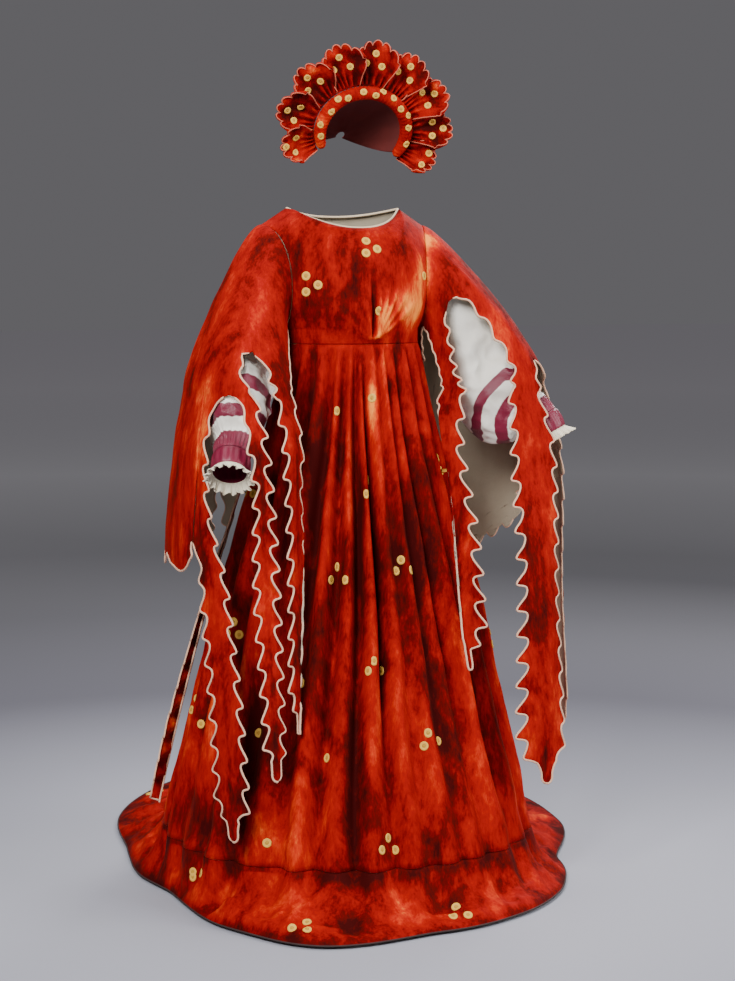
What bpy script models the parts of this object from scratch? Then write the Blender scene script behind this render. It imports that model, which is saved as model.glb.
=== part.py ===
# Stage costume: a high-waisted velvet gown with a spread train, slit oversleeves with leaf-shaped
# dags, striped undersleeves, and a headdress of lobed petals.
# Sizes are in metres. Heights are measured up from the floor that the hem lies on, and the
# frame's origin is on the shoulder line: +Z up, front towards -Y, the wearer's left towards +X.

import bisect
import math

import bmesh
import bpy
from mathutils import Vector

SHOULDER_HEIGHT = 1.470
CLOTH = 0.0022  # velvet and lining as one wall
SATIN = 0.0015
SEAM = 0.0005  # the gap that is left where two pieces are sewn together
BENT_SEAM = 0.0009  # half the outer gap of a seam whose walls lean towards each other inside
ROOF_SEAM = 0.0018  # the same at the shoulder, where the sleeve's wall leans in under the seam
WELD = 0.00002

# Colours as linear RGB, roughness
FINISHES = {
    "velvet": ((0.52, 0.035, 0.008), 0.85),
    "piping": ((0.86, 0.62, 0.45), 0.7),
    "satin": ((0.86, 0.78, 0.62), 0.4),
    "crimson": ((0.22, 0.008, 0.03), 0.45),
    "lace": ((0.80, 0.74, 0.60), 0.8),
}

# Bodice
WAIST_HEIGHT = 1.220
WAIST_SIDE = 0.150
WAIST_CENTRE_Y = -0.015
ARMHOLE_FOOT = Vector((0.157, 0.005, 1.252))
ARMHOLE_FRONT = Vector((0.157, -0.066, 1.343))
ARMHOLE_BACK = Vector((0.157, 0.095, 1.343))
SHOULDER_TIP = Vector((0.190, 0.050, 1.480))
NECK_SIDE = Vector((0.1343, 0.050, 1.516))
CHEST_STEP = 0.4  # how far up the armhole, by turn, its foot curve ends and its arch starts

# step up the side, height at the centre, y at the centre, wrap of the section round the side
BODICE_FRONT = (
    (0.0, WAIST_HEIGHT, -0.128, 90),
    (0.3, 1.252, -0.137, 86),
    (0.6, 1.293, -0.143, 74),
    (1.0, 1.343, -0.137, 62),
)
BODICE_BACK = (
    (0.0, WAIST_HEIGHT, 0.090, 90),
    (0.3, 1.252, 0.099, 86),
    (0.6, 1.298, 0.121, 74),
    (1.0, 1.353, 0.138, 64),
)
# rows as shares of the arch from the chest up to the neck and shoulder, and as steps up the side
UPPER_FRONT = (1.0, 0.94, 0.80, 0.60, 0.40, 0.20)
UPPER_BACK = (1.0, 0.94, 0.75, 0.50, 0.25)
LOWER_STEPS = (1.0, 0.77, 0.53, 0.30, 0.0)
FRONT_COLUMNS = 20
BACK_COLUMNS = 16
NECK_FRONT = (-0.062, 1.472)  # y and height of the lowest point of the neckline
NECK_BACK = (0.112, 1.498)

# Skirt: height, reach to the front, to the side and to the back from the waist's centre
SKIRT = (
    (WAIST_HEIGHT, 0.113, 0.150, 0.105),
    (1.11, 0.138, 0.170, 0.140),
    (0.96, 0.172, 0.208, 0.200),
    (0.70, 0.222, 0.278, 0.300),
    (0.40, 0.292, 0.345, 0.430),
    (0.12, 0.372, 0.405, 0.580),
)
JOIN_HEIGHT = 0.12  # the seam between skirt and hem band
# bearing from the front, reach of the hem
HEM = (
    (-180, 1.15),
    (-152, 0.82),
    (-131, 0.64),
    (-110, 0.53),
    (-87, 0.450),
    (-51, 0.485),
    (-28, 0.535),
    (4, 0.472),
    (46, 0.478),
    (86, 0.505),
    (115, 0.73),
    (145, 1.02),
    (180, 1.15),
)
# share of the way from the join to the hem, height of the cloth
HEM_BAND = ((0.0, JOIN_HEIGHT), (0.2, 0.060), (0.45, 0.026), (0.75, 0.013), (1.0, 0.0085))
# gathered folds: bearing at the waist, bearing at the floor, half width, depth share
FRONT_FOLDS = (
    (-82, -84, 9, 0.8),
    (-66, -69, 8, 1.0),
    (-50, -54, 9, 0.7),
    (-36, -38, 7, 1.1),
    (-24, -25, 7, 0.9),
    (-12, -12, 7, 1.2),
    (0, 1, 6, 0.8),
    (11, 13, 7, 1.2),
    (24, 26, 8, 0.8),
    (40, 40, 9, 1.1),
    (57, 55, 9, 0.8),
    (74, 72, 9, 1.0),
)
BACK_FOLDS = 12
BACK_FOLD_TURN = (91, 261)
GORE_SEAMS = (2.5, 9.5, 14.5, 20.5)  # counted in folds: each seam lies in a valley
# height, depth of a fold
FOLD_DEPTH = ((1.22, 0.0), (1.19, 0.006), (1.05, 0.014), (0.80, 0.024), (0.40, 0.030), (0.11, 0.022), (0.0, 0.003))

SKIRT_ROWS = (0.0, 0.03, 0.09, 0.18, 0.30, 0.44, 0.58, 0.72, 0.86, 1.0)
BAND_ROWS = (0.0, 0.15, 0.35, 0.6, 1.0)

# Oversleeves: a ring round the arm at each height. The turn goes from the body round the front to
# the outer side and back.
CAP_END = 1.115  # height where the cap has turned into a hanging bell
CAP_ROWS = 13
DAG_ROWS = 3
DAG_PITCH = 0.054
DAG_SHAPE = (0.0, 0.8, 1.0)  # a dag swells over its rows and is cut back under its last one
DAG_DEPTH = 0.013
RING_LENGTH = 1.15
INNER_BACK = 0.6  # behind, the ring reaches this share as far towards the body as in front
RING_SQUARENESS = 0.65  # under 1 the ring has fuller corners than an oval
BODY_CLEARANCE = 0.010
# height, centre x, centre y, reach to the body, outwards, to the front, to the back
LEFT_RINGS = (
    (1.115, 0.305, -0.005, 0.135, 0.150, 0.155, 0.160),
    (0.98, 0.310, -0.005, 0.200, 0.175, 0.185, 0.190),
    (0.75, 0.312, -0.040, 0.220, 0.158, 0.210, 0.230),
    (0.45, 0.312, -0.060, 0.240, 0.150, 0.230, 0.240),
    (0.00, 0.320, -0.060, 0.240, 0.145, 0.250, 0.240),
)
RIGHT_RINGS = (
    (1.115, 0.290, -0.015, 0.130, 0.085, 0.190, 0.150),
    (0.98, 0.300, -0.035, 0.165, 0.102, 0.215, 0.180),
    (0.75, 0.300, -0.035, 0.170, 0.120, 0.225, 0.200),
    (0.45, 0.300, -0.035, 0.150, 0.115, 0.275, 0.200),
    (0.00, 0.300, -0.035, 0.150, 0.105, 0.300, 0.200),
)
# Slits: how far down (0 armhole, 1 cap end, then metres more), turn of the edge before the slit,
# turn of the edge after it
LEFT_SLITS = (
    ((0.08, 0.090, 0.090), (0.3, 0.050, 0.115), (1.0, -0.020, 0.120), (1.3, -0.050, 0.120), (2.1, -0.060, 0.120)),
    ((0.25, 0.240, 0.240), (0.38, 0.190, 0.280), (1.0, 0.160, 0.260), (2.1, 0.160, 0.250)),
    ((0.80, 0.385, 0.385), (0.92, 0.345, 0.470), (1.05, 0.335, 0.490), (1.3, 0.330, 0.460), (2.1, 0.320, 0.410)),
    ((1.10, 0.560, 0.560), (1.20, 0.545, 0.580), (1.4, 0.520, 0.580), (2.1, 0.480, 0.580)),
    ((1.15, 0.800, 0.800), (1.25, 0.770, 0.830), (1.4, 0.750, 0.850), (2.1, 0.750, 0.860)),
)
RIGHT_SLITS = (
    ((0.20, 0.080, 0.080), (0.4, 0.045, 0.105), (1.0, -0.020, 0.110), (1.3, -0.050, 0.110), (2.1, -0.060, 0.110)),
    ((0.72, 0.250, 0.250), (0.85, 0.190, 0.290), (1.1, 0.165, 0.235), (2.1, 0.165, 0.205)),
    ((1.00, 0.340, 0.340), (1.08, 0.270, 0.420), (1.2, 0.245, 0.410), (1.4, 0.245, 0.350), (2.1, 0.240, 0.310)),
    ((1.34, 0.470, 0.470), (1.40, 0.430, 0.485), (1.6, 0.400, 0.500), (2.1, 0.385, 0.500)),
    ((1.20, 0.810, 0.810), (1.30, 0.780, 0.840), (1.4, 0.770, 0.850), (2.1, 0.770, 0.860)),
)
# panels between the slits: name, columns, how far down it hangs at its first and last edge
LEFT_PANELS = (
    ("inner", 2, 1.63, 1.63),
    ("middle", 2, 1.88, 1.88),
    ("outer", 2, 1.75, 1.75),
    ("back", 4, 1.32, 1.44),
    ("train", 3, 1.96, 1.96),
)
RIGHT_PANELS = (
    ("inner", 2, 1.71, 1.71),
    ("middle", 2, 1.80, 1.80),
    ("outer", 3, 1.93, 1.93),
    ("back", 4, 1.37, 1.37),
    ("train", 3, 1.95, 1.95),
)
TIP_LENGTH = 0.07
SLOPE_START = 1.2  # where the sloping hem of a back panel begins to part from the level rows
ROOT_REACH = (0.008, 0.045)  # how far the cap leaves the armhole straight out, at its foot and top
CAP_DROP = (0.030, 0.090)  # how far above the cap's end the bell hangs straight, at foot and top

# Undersleeves: x, y, height, radius across, radius up and down
LEFT_UNDERSLEEVE = (
    (0.225, 0.000, 1.300, 0.062, 0.080),
    (0.290, -0.010, 1.190, 0.075, 0.098),
    (0.335, -0.030, 1.105, 0.085, 0.105),
    (0.374, -0.060, 1.065, 0.072, 0.080),
    (0.404, -0.078, 1.065, 0.048, 0.050),
)
LEFT_WRIST = (Vector((0.426, -0.090, 1.052)), Vector((0.42, -0.25, -0.87)))
RIGHT_UNDERSLEEVE = (
    (0.215, -0.005, 1.300, 0.058, 0.078),
    (0.255, -0.040, 1.200, 0.066, 0.088),
    (0.285, -0.085, 1.115, 0.070, 0.090),
    (0.310, -0.130, 1.055, 0.062, 0.070),
    (0.322, -0.156, 1.018, 0.046, 0.046),
)
RIGHT_WRIST = (Vector((0.332, -0.180, 0.990)), Vector((0.28, -0.62, -0.73)))
WRIST_RADIUS = 0.037
CUFF_LENGTH = 0.045
FRILL_LENGTH = 0.016
FRILL_WAVES = 8
SLEEVE_COLUMNS = 12
UNDERSLEEVE_ROWS = 8

# Headdress: the face looks to the front, and the whole leans a little to the wearer's left
HEAD_CENTRE = Vector((0.018, -0.015, 1.682))
HEAD_LEAN = 5
ROLL_HALF_WIDTH = 0.099
ROLL_HALF_HEIGHT = 0.082
ROLL_RADIUS = 0.0145
ROLL_FORWARD = 0.055  # the roll's top stands this far in front of its ends
ROLL_TURN = 122
PETAL_TURNS = (-108, -81, -54, -27, 0, 27, 54, 81, 108)
PETAL_LENGTH = 0.098
PETAL_HALF_TURN = 13.2
PETAL_SEAT = 0.0009  # the outer petals sit this much deeper, on the flats of the roll
PETAL_LOBES = 5
PETAL_CUP = 0.016
CAP_DEPTH = 0.135


def between(a, b, share):
    """A value, or each of a row of values, part of the way from one to another."""
    if isinstance(a, (tuple, list)):
        return [between(x, y, share) for x, y in zip(a, b)]
    return a + (b - a) * share


def through(rows, key):
    """The columns after the first of a table, read at a key along smooth curves through its rows."""
    keys = [row[0] for row in rows]
    if keys[0] > keys[-1]:
        rows = rows[::-1]
        keys = keys[::-1]
    key = min(max(key, keys[0]), keys[-1])
    i = min(max(bisect.bisect_right(keys, key) - 1, 0), len(keys) - 2)

    def slope(k, column):
        return (rows[k + 1][column] - rows[k][column]) / (keys[k + 1] - keys[k])

    def tangent(k, column):
        if k == 0:
            return slope(0, column)
        if k == len(keys) - 1:
            return slope(k - 1, column)
        before, after = slope(k - 1, column), slope(k, column)
        return 2 * before * after / (before + after) if before * after > 0 else 0.0

    step = keys[i + 1] - keys[i]
    s = (key - keys[i]) / step
    values = []
    for column in range(1, len(rows[0])):
        a, b = rows[i][column], rows[i + 1][column]
        ta, tb = tangent(i, column) * step, tangent(i + 1, column) * step
        values.append(
            a * (2 * s**3 - 3 * s**2 + 1) + ta * (s**3 - 2 * s**2 + s) + b * (3 * s**2 - 2 * s**3) + tb * (s**3 - s**2)
        )
    return values if len(values) > 1 else values[0]


def finish(name):
    """The material of one finish, made once."""
    material = bpy.data.materials.get(name)
    if material is None:
        colour, roughness = FINISHES[name]
        material = bpy.data.materials.new(name)
        material.use_nodes = True
        shader = material.node_tree.nodes["Principled BSDF"]
        shader.inputs["Base Color"].default_value = (*colour, 1.0)
        shader.inputs["Roughness"].default_value = roughness
        shader.inputs["Metallic"].default_value = 0.0
    return material


def cloth(parts, name, grids, finish_name, wall=CLOTH, closed=False, flip=False):
    """One piece of cloth: open sheets of points, welded where they meet, with a wall turned inwards."""
    mesh = bmesh.new()
    for grid in grids:
        rows = [[mesh.verts.new((p[0], p[1], p[2] - SHOULDER_HEIGHT)) for p in row] for row in grid]
        for upper, lower in zip(rows, rows[1:]):
            for c in range(len(upper) if closed else len(upper) - 1):
                n = (c + 1) % len(upper)
                corners = [upper[c], lower[c], lower[n], upper[n]]
                mesh.faces.new(corners[::-1] if flip else corners)
    bmesh.ops.remove_doubles(mesh, verts=mesh.verts, dist=WELD)
    data = bpy.data.meshes.new(name)
    mesh.to_mesh(data)
    mesh.free()
    data.shade_smooth()
    piece = bpy.data.objects.new(name, data)
    piece.data.materials.append(finish(finish_name))
    thickness = piece.modifiers.new("wall", "SOLIDIFY")
    thickness.thickness = wall
    thickness.offset = -1
    parts.objects.link(piece)
    return piece


# Bodice


def arch(foot, top, share):
    """A point on the quarter curve that rises from a point of the chest and runs level onto the shoulder."""
    angle = math.radians(90 * share)
    return Vector(
        (
            between(foot.x, top.x, 1 - math.cos(angle)),
            between(foot.y, top.y, 1 - math.cos(angle)),
            between(foot.z, top.z, math.sin(angle)),
        )
    )


def armhole(turn):
    """A point of the wearer's left armhole: 0 at its foot, 0.25 at the front, 0.5 at the shoulder, 0.75 behind."""
    front = turn <= 0.5
    step = (turn if front else 1 - turn) * 2
    chest = ARMHOLE_FRONT if front else ARMHOLE_BACK
    if step >= CHEST_STEP:
        return arch(chest, SHOULDER_TIP, (step - CHEST_STEP) / (1 - CHEST_STEP))
    angle = math.radians(90 * step / CHEST_STEP)
    return Vector(
        (
            ARMHOLE_FOOT.x,
            between(ARMHOLE_FOOT.y, chest.y, math.sin(angle)),
            between(ARMHOLE_FOOT.z, chest.z, 1 - math.cos(angle)),
        )
    )


def bodice_edge(step, front):
    """The side edge of a bodice panel at a step from the waist to the chest: side seam, then armhole."""
    seam_end = BODICE_FRONT[1][0]
    if step < seam_end:
        share = step / seam_end
        return Vector((between(WAIST_SIDE, ARMHOLE_FOOT.x, share), between(WAIST_CENTRE_Y, ARMHOLE_FOOT.y, share),
                       between(WAIST_HEIGHT, ARMHOLE_FOOT.z, share)))
    turn = (step - seam_end) / (1 - seam_end) * CHEST_STEP / 2
    return armhole(turn if front else 1 - turn)


def bodice_chest(step, across, front):
    """A point of a bodice panel below the chest line, at a share of the width from the centre."""
    height, y, wrap = through(BODICE_FRONT if front else BODICE_BACK, step)
    edge = bodice_edge(step, front)
    angle = math.radians(wrap * abs(across))
    whole = math.radians(wrap)
    turned = (1 - math.cos(angle)) / (1 - math.cos(whole))
    x = edge.x * math.sin(angle) / math.sin(whole)
    return Vector((math.copysign(x, across), between(y, edge.y, turned), between(height, edge.z, turned)))


def bodice_top(across, front):
    """A point of the neckline or of the shoulder seam."""
    x = SHOULDER_TIP.x * math.sin(math.radians(90 * abs(across)))
    if x > NECK_SIDE.x:
        share = (x - NECK_SIDE.x) / (SHOULDER_TIP.x - NECK_SIDE.x)
        point = NECK_SIDE.lerp(SHOULDER_TIP, share)
    else:
        y, height = NECK_FRONT if front else NECK_BACK
        share = x / NECK_SIDE.x
        point = Vector((x, between(y, NECK_SIDE.y, share**2.4), between(height, NECK_SIDE.z, share**2.2)))
    point.x = math.copysign(point.x, across)
    point.y += -BENT_SEAM if front else BENT_SEAM
    return point


def bodice_panel(front, columns, upper_shares):
    """The points of the front or back of the bodice, rows going down."""
    rows = []
    side = -1 if front else 1
    for share in upper_shares:
        row = []
        for c in range(columns + 1):
            across = -side * (2 * c / columns - 1)
            point = arch(bodice_chest(1.0, across, front), bodice_top(across, front), share)
            point.x = point.x - math.copysign(SEAM / 2, across) * (abs(across) == 1)
            row.append(point)
        rows.append(row)
    for step in LOWER_STEPS:
        row = []
        for c in range(columns + 1):
            across = -side * (2 * c / columns - 1)
            point = bodice_chest(step, across, front)
            if abs(across) == 1:
                point.y += -BENT_SEAM if front else BENT_SEAM
            row.append(point)
        rows.append(row)
    return rows


def neck_piping(parts):
    """The corded strip round the neck, a closed tube on the neckline's edge."""
    steps = FRONT_COLUMNS // 4
    front = [bodice_top(0.5 * k / steps, True) for k in range(-steps, steps + 1)]
    steps = BACK_COLUMNS // 4
    back = [bodice_top(-0.5 * k / steps, False) for k in range(-steps + 1, steps)]
    curve = bpy.data.curves.new("neck_piping", "CURVE")
    curve.dimensions = "3D"
    curve.bevel_depth = 0.0022
    curve.bevel_resolution = 1
    line = curve.splines.new("POLY")
    points = front + back
    centre = sum(points, Vector()) / len(points)
    line.points.add(len(points) - 1)
    for knot, point in zip(line.points, points):
        inward = (centre - point)
        inward.z = 0
        place = point + inward.normalized() * 0.0028
        knot.co = (place.x, place.y, place.z - SHOULDER_HEIGHT, 1)
    line.use_cyclic_u = True
    piping = bpy.data.objects.new("neck_piping", curve)
    curve.materials.append(finish("piping"))
    parts.objects.link(piping)


# Skirt


def wrapped(bearing):
    """A bearing between -180 and 180 degrees."""
    return (bearing + 180) % 360 - 180


def all_folds():
    """Every gathered fold of the skirt: the front ones, and an even run behind."""
    first, last = BACK_FOLD_TURN
    pitch = (last - first) / (BACK_FOLDS - 1)
    behind = [(first + pitch * k, first + pitch * k, 0.55 * pitch, 0.8 + 0.3 * (k % 3) / 2) for k in range(BACK_FOLDS)]
    return list(FRONT_FOLDS) + behind


FOLDS = all_folds()


def skirt_lines():
    """The lines that the skirt's columns follow down: crests, slopes and valleys of the folds.

    Each is its place counted in folds, its bearing at the waist and its bearing at the floor."""
    lines = []
    for k, fold in enumerate(FOLDS):
        after = FOLDS[(k + 1) % len(FOLDS)]
        lap = 360 if k + 1 == len(FOLDS) else 0
        steps = 4 if k < len(FRONT_FOLDS) else 2
        for j in range(steps):
            share = j / steps
            lines.append((k + share, between(fold[0], after[0] + lap, share), between(fold[1], after[1] + lap, share)))
    return lines


def fold_height(bearing, height):
    """How far the gathered folds stand out at a bearing and a height."""
    depth = through(FOLD_DEPTH, height)
    out = 0.0
    for at_waist, at_floor, half_width, share in FOLDS:
        middle = between(at_floor, at_waist, height / WAIST_HEIGHT)
        away = abs(wrapped(bearing - middle)) / half_width
        if away < 1:
            out += share * 0.5 * (1 + math.cos(math.pi * away))
    return depth * (out - 0.5)


def smooth_reach(bearing, height):
    """How far the skirt would stand from the waist's centre line without its folds."""
    front, side, back = through(SKIRT, height)
    angle = math.radians(bearing)
    along = front if math.cos(angle) > 0 else back
    return 1 / math.hypot(math.sin(angle) / side, math.cos(angle) / along)


def skirt_reach(bearing, height):
    """How far the skirt stands from the waist's centre line."""
    return smooth_reach(bearing, height) + fold_height(bearing, height)


def skirt_point(bearing, height, reach):
    """A point at a bearing, a height and a reach from the waist's centre line."""
    angle = math.radians(bearing)
    return Vector((reach * math.sin(angle), WAIST_CENTRE_Y - reach * math.cos(angle), height))


def skirt_gore(first, last):
    """The points of one gore between two seams, from the waist to the hem band."""
    lines = skirt_lines()
    lap = len(FOLDS)
    lines += [(place + lap, at_waist + 360, at_floor + 360) for place, at_waist, at_floor in lines]
    lines = [line for line in lines if first <= line[0] <= last]
    rows = []
    for share in SKIRT_ROWS:
        height = between(WAIST_HEIGHT - SEAM, JOIN_HEIGHT + SEAM, share)
        row = []
        for k, (_, at_waist, at_floor) in enumerate(lines):
            bearing = between(at_floor, at_waist, height / WAIST_HEIGHT)
            reach = skirt_reach(bearing, height)
            sewn = math.degrees(SEAM / reach) * ((k == 0) - (k == len(lines) - 1))
            row.append(skirt_point(bearing + sewn, height, reach))
        rows.append(row)
    return rows


def hem_band():
    """The points of the border that spreads from the join to the hem, all round."""
    rows = []
    for share in BAND_ROWS:
        height = through(HEM_BAND, share) - SEAM * (share == 0)
        row = []
        for _, at_waist, at_floor in skirt_lines():
            bearing = between(at_floor, at_waist, height / WAIST_HEIGHT)
            start = skirt_reach(bearing, JOIN_HEIGHT)
            reach = between(start, through(HEM, wrapped(bearing)), share)
            row.append(skirt_point(bearing, height, reach))
        rows.append(row)
    return rows


# Oversleeves


def off_the_body(point, clearance):
    """The point, moved out from the body's centre line where the gown would be in its way."""
    height = min(max(point.z, JOIN_HEIGHT), WAIST_HEIGHT)
    x, y = point.x, point.y - WAIST_CENTRE_Y
    reach = math.hypot(x, y)
    crest = 0.7 * through(FOLD_DEPTH, height)
    least = smooth_reach(math.degrees(math.atan2(x, -y)), height) + crest + clearance
    if point.z > WAIST_HEIGHT or reach >= least:
        return point
    return Vector((x / reach * least, WAIST_CENTRE_Y + y / reach * least, point.z))


def bell_ring(rings, turn, height):
    """A point of the hanging bell, on the wearer's left, at a turn and a height."""
    x, y, inner, outer, front, back = through(rings, height)
    angle = 2 * math.pi * turn
    out, forward = -math.cos(angle), math.copysign(abs(math.sin(angle)) ** RING_SQUARENESS, math.sin(angle))
    below = min(max((CAP_END - height) / 0.2, 0.0), 1.0)
    inner *= 1 - below * (1 - INNER_BACK) * (1 - math.sin(angle)) / 2
    return Vector((x + out * (outer if out > 0 else inner), y - forward * (front if forward > 0 else back), height))


def oversleeve_point(rings, turn, down):
    """A point of an oversleeve on the wearer's left: down is 0 at the armhole, 1 at the cap's end."""
    turn = turn % 1.0
    upward = (1 - math.cos(2 * math.pi * turn)) / 2
    if down >= 1:
        point = bell_ring(rings, turn, CAP_END + 1 - down)
        return off_the_body(point, BODY_CLEARANCE)
    root = armhole(turn) + Vector((between(SEAM, ROOF_SEAM, upward), 0, 0))
    end = bell_ring(rings, turn, CAP_END)
    leaves = root + Vector((between(*ROOT_REACH, upward), 0, 0))
    arrives = end + Vector((0, 0, between(*CAP_DROP, upward)))
    s = down
    point = root * (1 - s) ** 3 + leaves * (3 * s * (1 - s) ** 2) + arrives * (3 * s * s * (1 - s)) + end * s**3
    return off_the_body(point, BODY_CLEARANCE * min(1.0, 3 * down))


def sleeve_rows():
    """How far down each row of a sleeve lies, from the armhole to the floor."""
    cap = [r / CAP_ROWS for r in range(CAP_ROWS)]
    step = DAG_PITCH / DAG_ROWS
    hanging = [1 + step * r for r in range(int(1.08 / step) + 1)]
    return cap + hanging


def slit_edge(slit, down, after):
    """The turn of one edge of a slit, or of the seam above it."""
    turns = through(slit, down)
    return turns[1 if after else 0]


def panel_grid(sleeve, number):
    """The points of one panel of an oversleeve, its free edges cut in dags and its end in a finger."""
    rings, slits, panels, side = sleeve
    _, columns, first_tip, last_tip = panels[number]
    before, after = slits[number], slits[(number + 1) % len(slits)]
    lap = 1.0 if number == len(panels) - 1 else 0.0
    broad = columns > 3
    grid = []
    for r, down in enumerate(sleeve_rows()):
        if down > max(first_tip, last_tip):
            break
        first = slit_edge(before, down, True)
        last = slit_edge(after, down, False) + lap
        dag = DAG_DEPTH * DAG_SHAPE[r % DAG_ROWS] / RING_LENGTH
        first -= dag * min(max((down - before[0][0]) * 5, 0.0), 1.0)
        last += dag * min(max((down - after[0][0]) * 5, 0.0), 1.0)
        if first_tip - down < TIP_LENGTH and not broad:
            middle = (first + last) / 2
            share = math.sqrt(max((first_tip - down) / TIP_LENGTH, 0.25))
            first = between(middle, first, share)
            last = between(middle, last, share)
        row = []
        longest = max(first_tip, last_tip)
        for c in range(columns + 1):
            across = c / columns
            tip = between(first_tip, last_tip, across)
            level = down
            if down > SLOPE_START:
                level = SLOPE_START + (down - SLOPE_START) * (tip - SLOPE_START) / (longest - SLOPE_START)
            point = oversleeve_point(rings, between(first, last, across), level)
            row.append(Vector((side * point.x, point.y, point.z)))
        grid.append(row)
    return grid


# Undersleeves and cuffs


def tube_rings(centres, columns):
    """Rings round a bent centre line: each centre is a point, its axis, radius across and radius up."""
    rows = []
    for point, axis, wide, tall in centres:
        across = axis.cross(Vector((0, 0, 1))).normalized()
        up = across.cross(axis).normalized()
        rows.append(
            [
                point + across * (wide * math.sin(2 * math.pi * c / columns))
                - up * (tall * math.cos(2 * math.pi * c / columns))
                for c in range(columns)
            ]
        )
    return rows


def undersleeve(table, wrist, side):
    """The rings of an undersleeve from just inside the armhole to the gathers at the cuff."""
    stations = [Vector(row[:3]) for row in table] + [wrist[0]]
    sizes = [row[3:] for row in table] + [(WRIST_RADIUS + 0.003, WRIST_RADIUS + 0.003)]
    keyed = [(k, *p, *s) for k, (p, s) in enumerate(zip(stations, sizes))]
    centres = []
    count = UNDERSLEEVE_ROWS
    last = len(stations) - 1
    for k in range(count + 1):
        key = last * k / count
        here = through(keyed, key)
        ahead = through(keyed, min(key + 0.05, last))
        behind = through(keyed, max(key - 0.05, 0))
        axis = (Vector(ahead[:3]) - Vector(behind[:3])).normalized()
        axis = Vector((1, 0, 0)).lerp(axis, min(1.0, k / 3)).normalized()
        if k == count:
            axis = wrist[1].normalized()
        centres.append((Vector(here[:3]), axis, here[3], here[4]))
    rows = tube_rings(centres, SLEEVE_COLUMNS)
    root = []
    middle = Vector((ARMHOLE_FOOT.x, 0.015, 1.345))
    for c in range(SLEEVE_COLUMNS):
        point = armhole(c / SLEEVE_COLUMNS)
        inward = middle - point
        inward.x = 0
        root.append(point + inward.normalized() * (CLOTH + 0.0075) + Vector((0.003, 0, 0)))
    rows.insert(0, root)
    return [[Vector((side * p.x, p.y, p.z)) for p in row] for row in rows]


def cuff(wrist, side):
    """The band round a wrist."""
    start, axis = wrist[0], wrist[1].normalized()
    centres = [
        (start + axis * (SEAM + CUFF_LENGTH * s), axis, WRIST_RADIUS + swell, WRIST_RADIUS + swell)
        for s, swell in ((0.0, 0.003), (0.5, 0.005), (1.0, 0.001))
    ]
    return [[Vector((side * p.x, p.y, p.z)) for p in row] for row in tube_rings(centres, SLEEVE_COLUMNS)]


def frill(wrist, side):
    """The lace frill at the edge of a cuff, in waves."""
    columns = FRILL_WAVES * 3
    start, axis = wrist[0], wrist[1].normalized()
    rows = []
    for s in (0.0, 1.0):
        place = start + axis * (2 * SEAM + CUFF_LENGTH + FRILL_LENGTH * s)
        ring = tube_rings([(place, axis, 1.0, 1.0)], columns)[0]
        row = []
        for c, point in enumerate(ring):
            wave = 0.005 * s * math.sin(2 * math.pi * FRILL_WAVES * c / columns)
            row.append(place + (point - place) * (WRIST_RADIUS + 0.001 + 0.010 * s + wave))
        rows.append(row)
    return [[Vector((side * p.x, p.y, p.z)) for p in row] for row in rows]


# Headdress


def head_point(right, forward, up):
    """A point of the headdress from its centre, leaning with it."""
    lean = math.radians(HEAD_LEAN)
    return HEAD_CENTRE + Vector(
        (right * math.cos(lean) + up * math.sin(lean), -forward, up * math.cos(lean) - right * math.sin(lean))
    )


def roll_place(turn, out=0.0, forward=0.0):
    """A point of the roll's centre line at a turn from its top, moved outwards and forwards."""
    angle = math.radians(turn)
    right = (ROLL_HALF_WIDTH + out) * math.sin(angle)
    up = (ROLL_HALF_HEIGHT + out) * math.cos(angle)
    ahead = ROLL_FORWARD * math.cos(angle * 0.75) + forward
    return right, ahead, up


def roll_taper(turn):
    """How thick the roll is at a turn, as a share: it narrows to its ends."""
    return 1 - 0.35 * abs(turn / ROLL_TURN) ** 6


def padded_roll(parts):
    """The padded roll round the face, a thick tube."""
    curve = bpy.data.curves.new("headdress_roll", "CURVE")
    curve.dimensions = "3D"
    curve.bevel_depth = ROLL_RADIUS
    curve.bevel_resolution = 2
    curve.use_fill_caps = True
    line = curve.splines.new("POLY")
    count = 23
    line.points.add(count - 1)
    for k, knot in enumerate(line.points):
        turn = between(-ROLL_TURN, ROLL_TURN, k / (count - 1))
        place = head_point(*roll_place(turn))
        knot.co = (place.x, place.y, place.z - SHOULDER_HEIGHT, 1)
        knot.radius = roll_taper(turn)
    roll = bpy.data.objects.new("headdress_roll", curve)
    curve.materials.append(finish("velvet"))
    parts.objects.link(roll)


def petal(turn):
    """The points of one cupped petal with a lobed end, rows going out from the roll."""
    columns = PETAL_LOBES * 2
    rows = []
    for s in (0.0, 0.35, 0.75, 1.0):
        row = []
        for c in range(columns + 1):
            across = 2 * c / columns - 1
            lobe = abs(math.sin(math.pi * PETAL_LOBES * (across + 1) / 2))
            reach = PETAL_LENGTH * s * (1 - 0.22 * across**2 * s) - 0.010 * (1 - lobe) * s**3
            spread = between(0.82, 1.0, min(1, s * 1.6)) * PETAL_HALF_TURN
            cup = PETAL_CUP * across**2 * math.sin(math.pi * min(s, 0.75))
            lift = 0.020 * s * s
            place = turn + spread * across
            root = ROLL_RADIUS * roll_taper(place) + SEAM - PETAL_SEAT * abs(turn / 108) ** 3
            right, ahead, up = roll_place(place, root + reach, cup + lift - 0.006)
            row.append(head_point(right, ahead, up))
        rows.append(row)
    return rows


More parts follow.
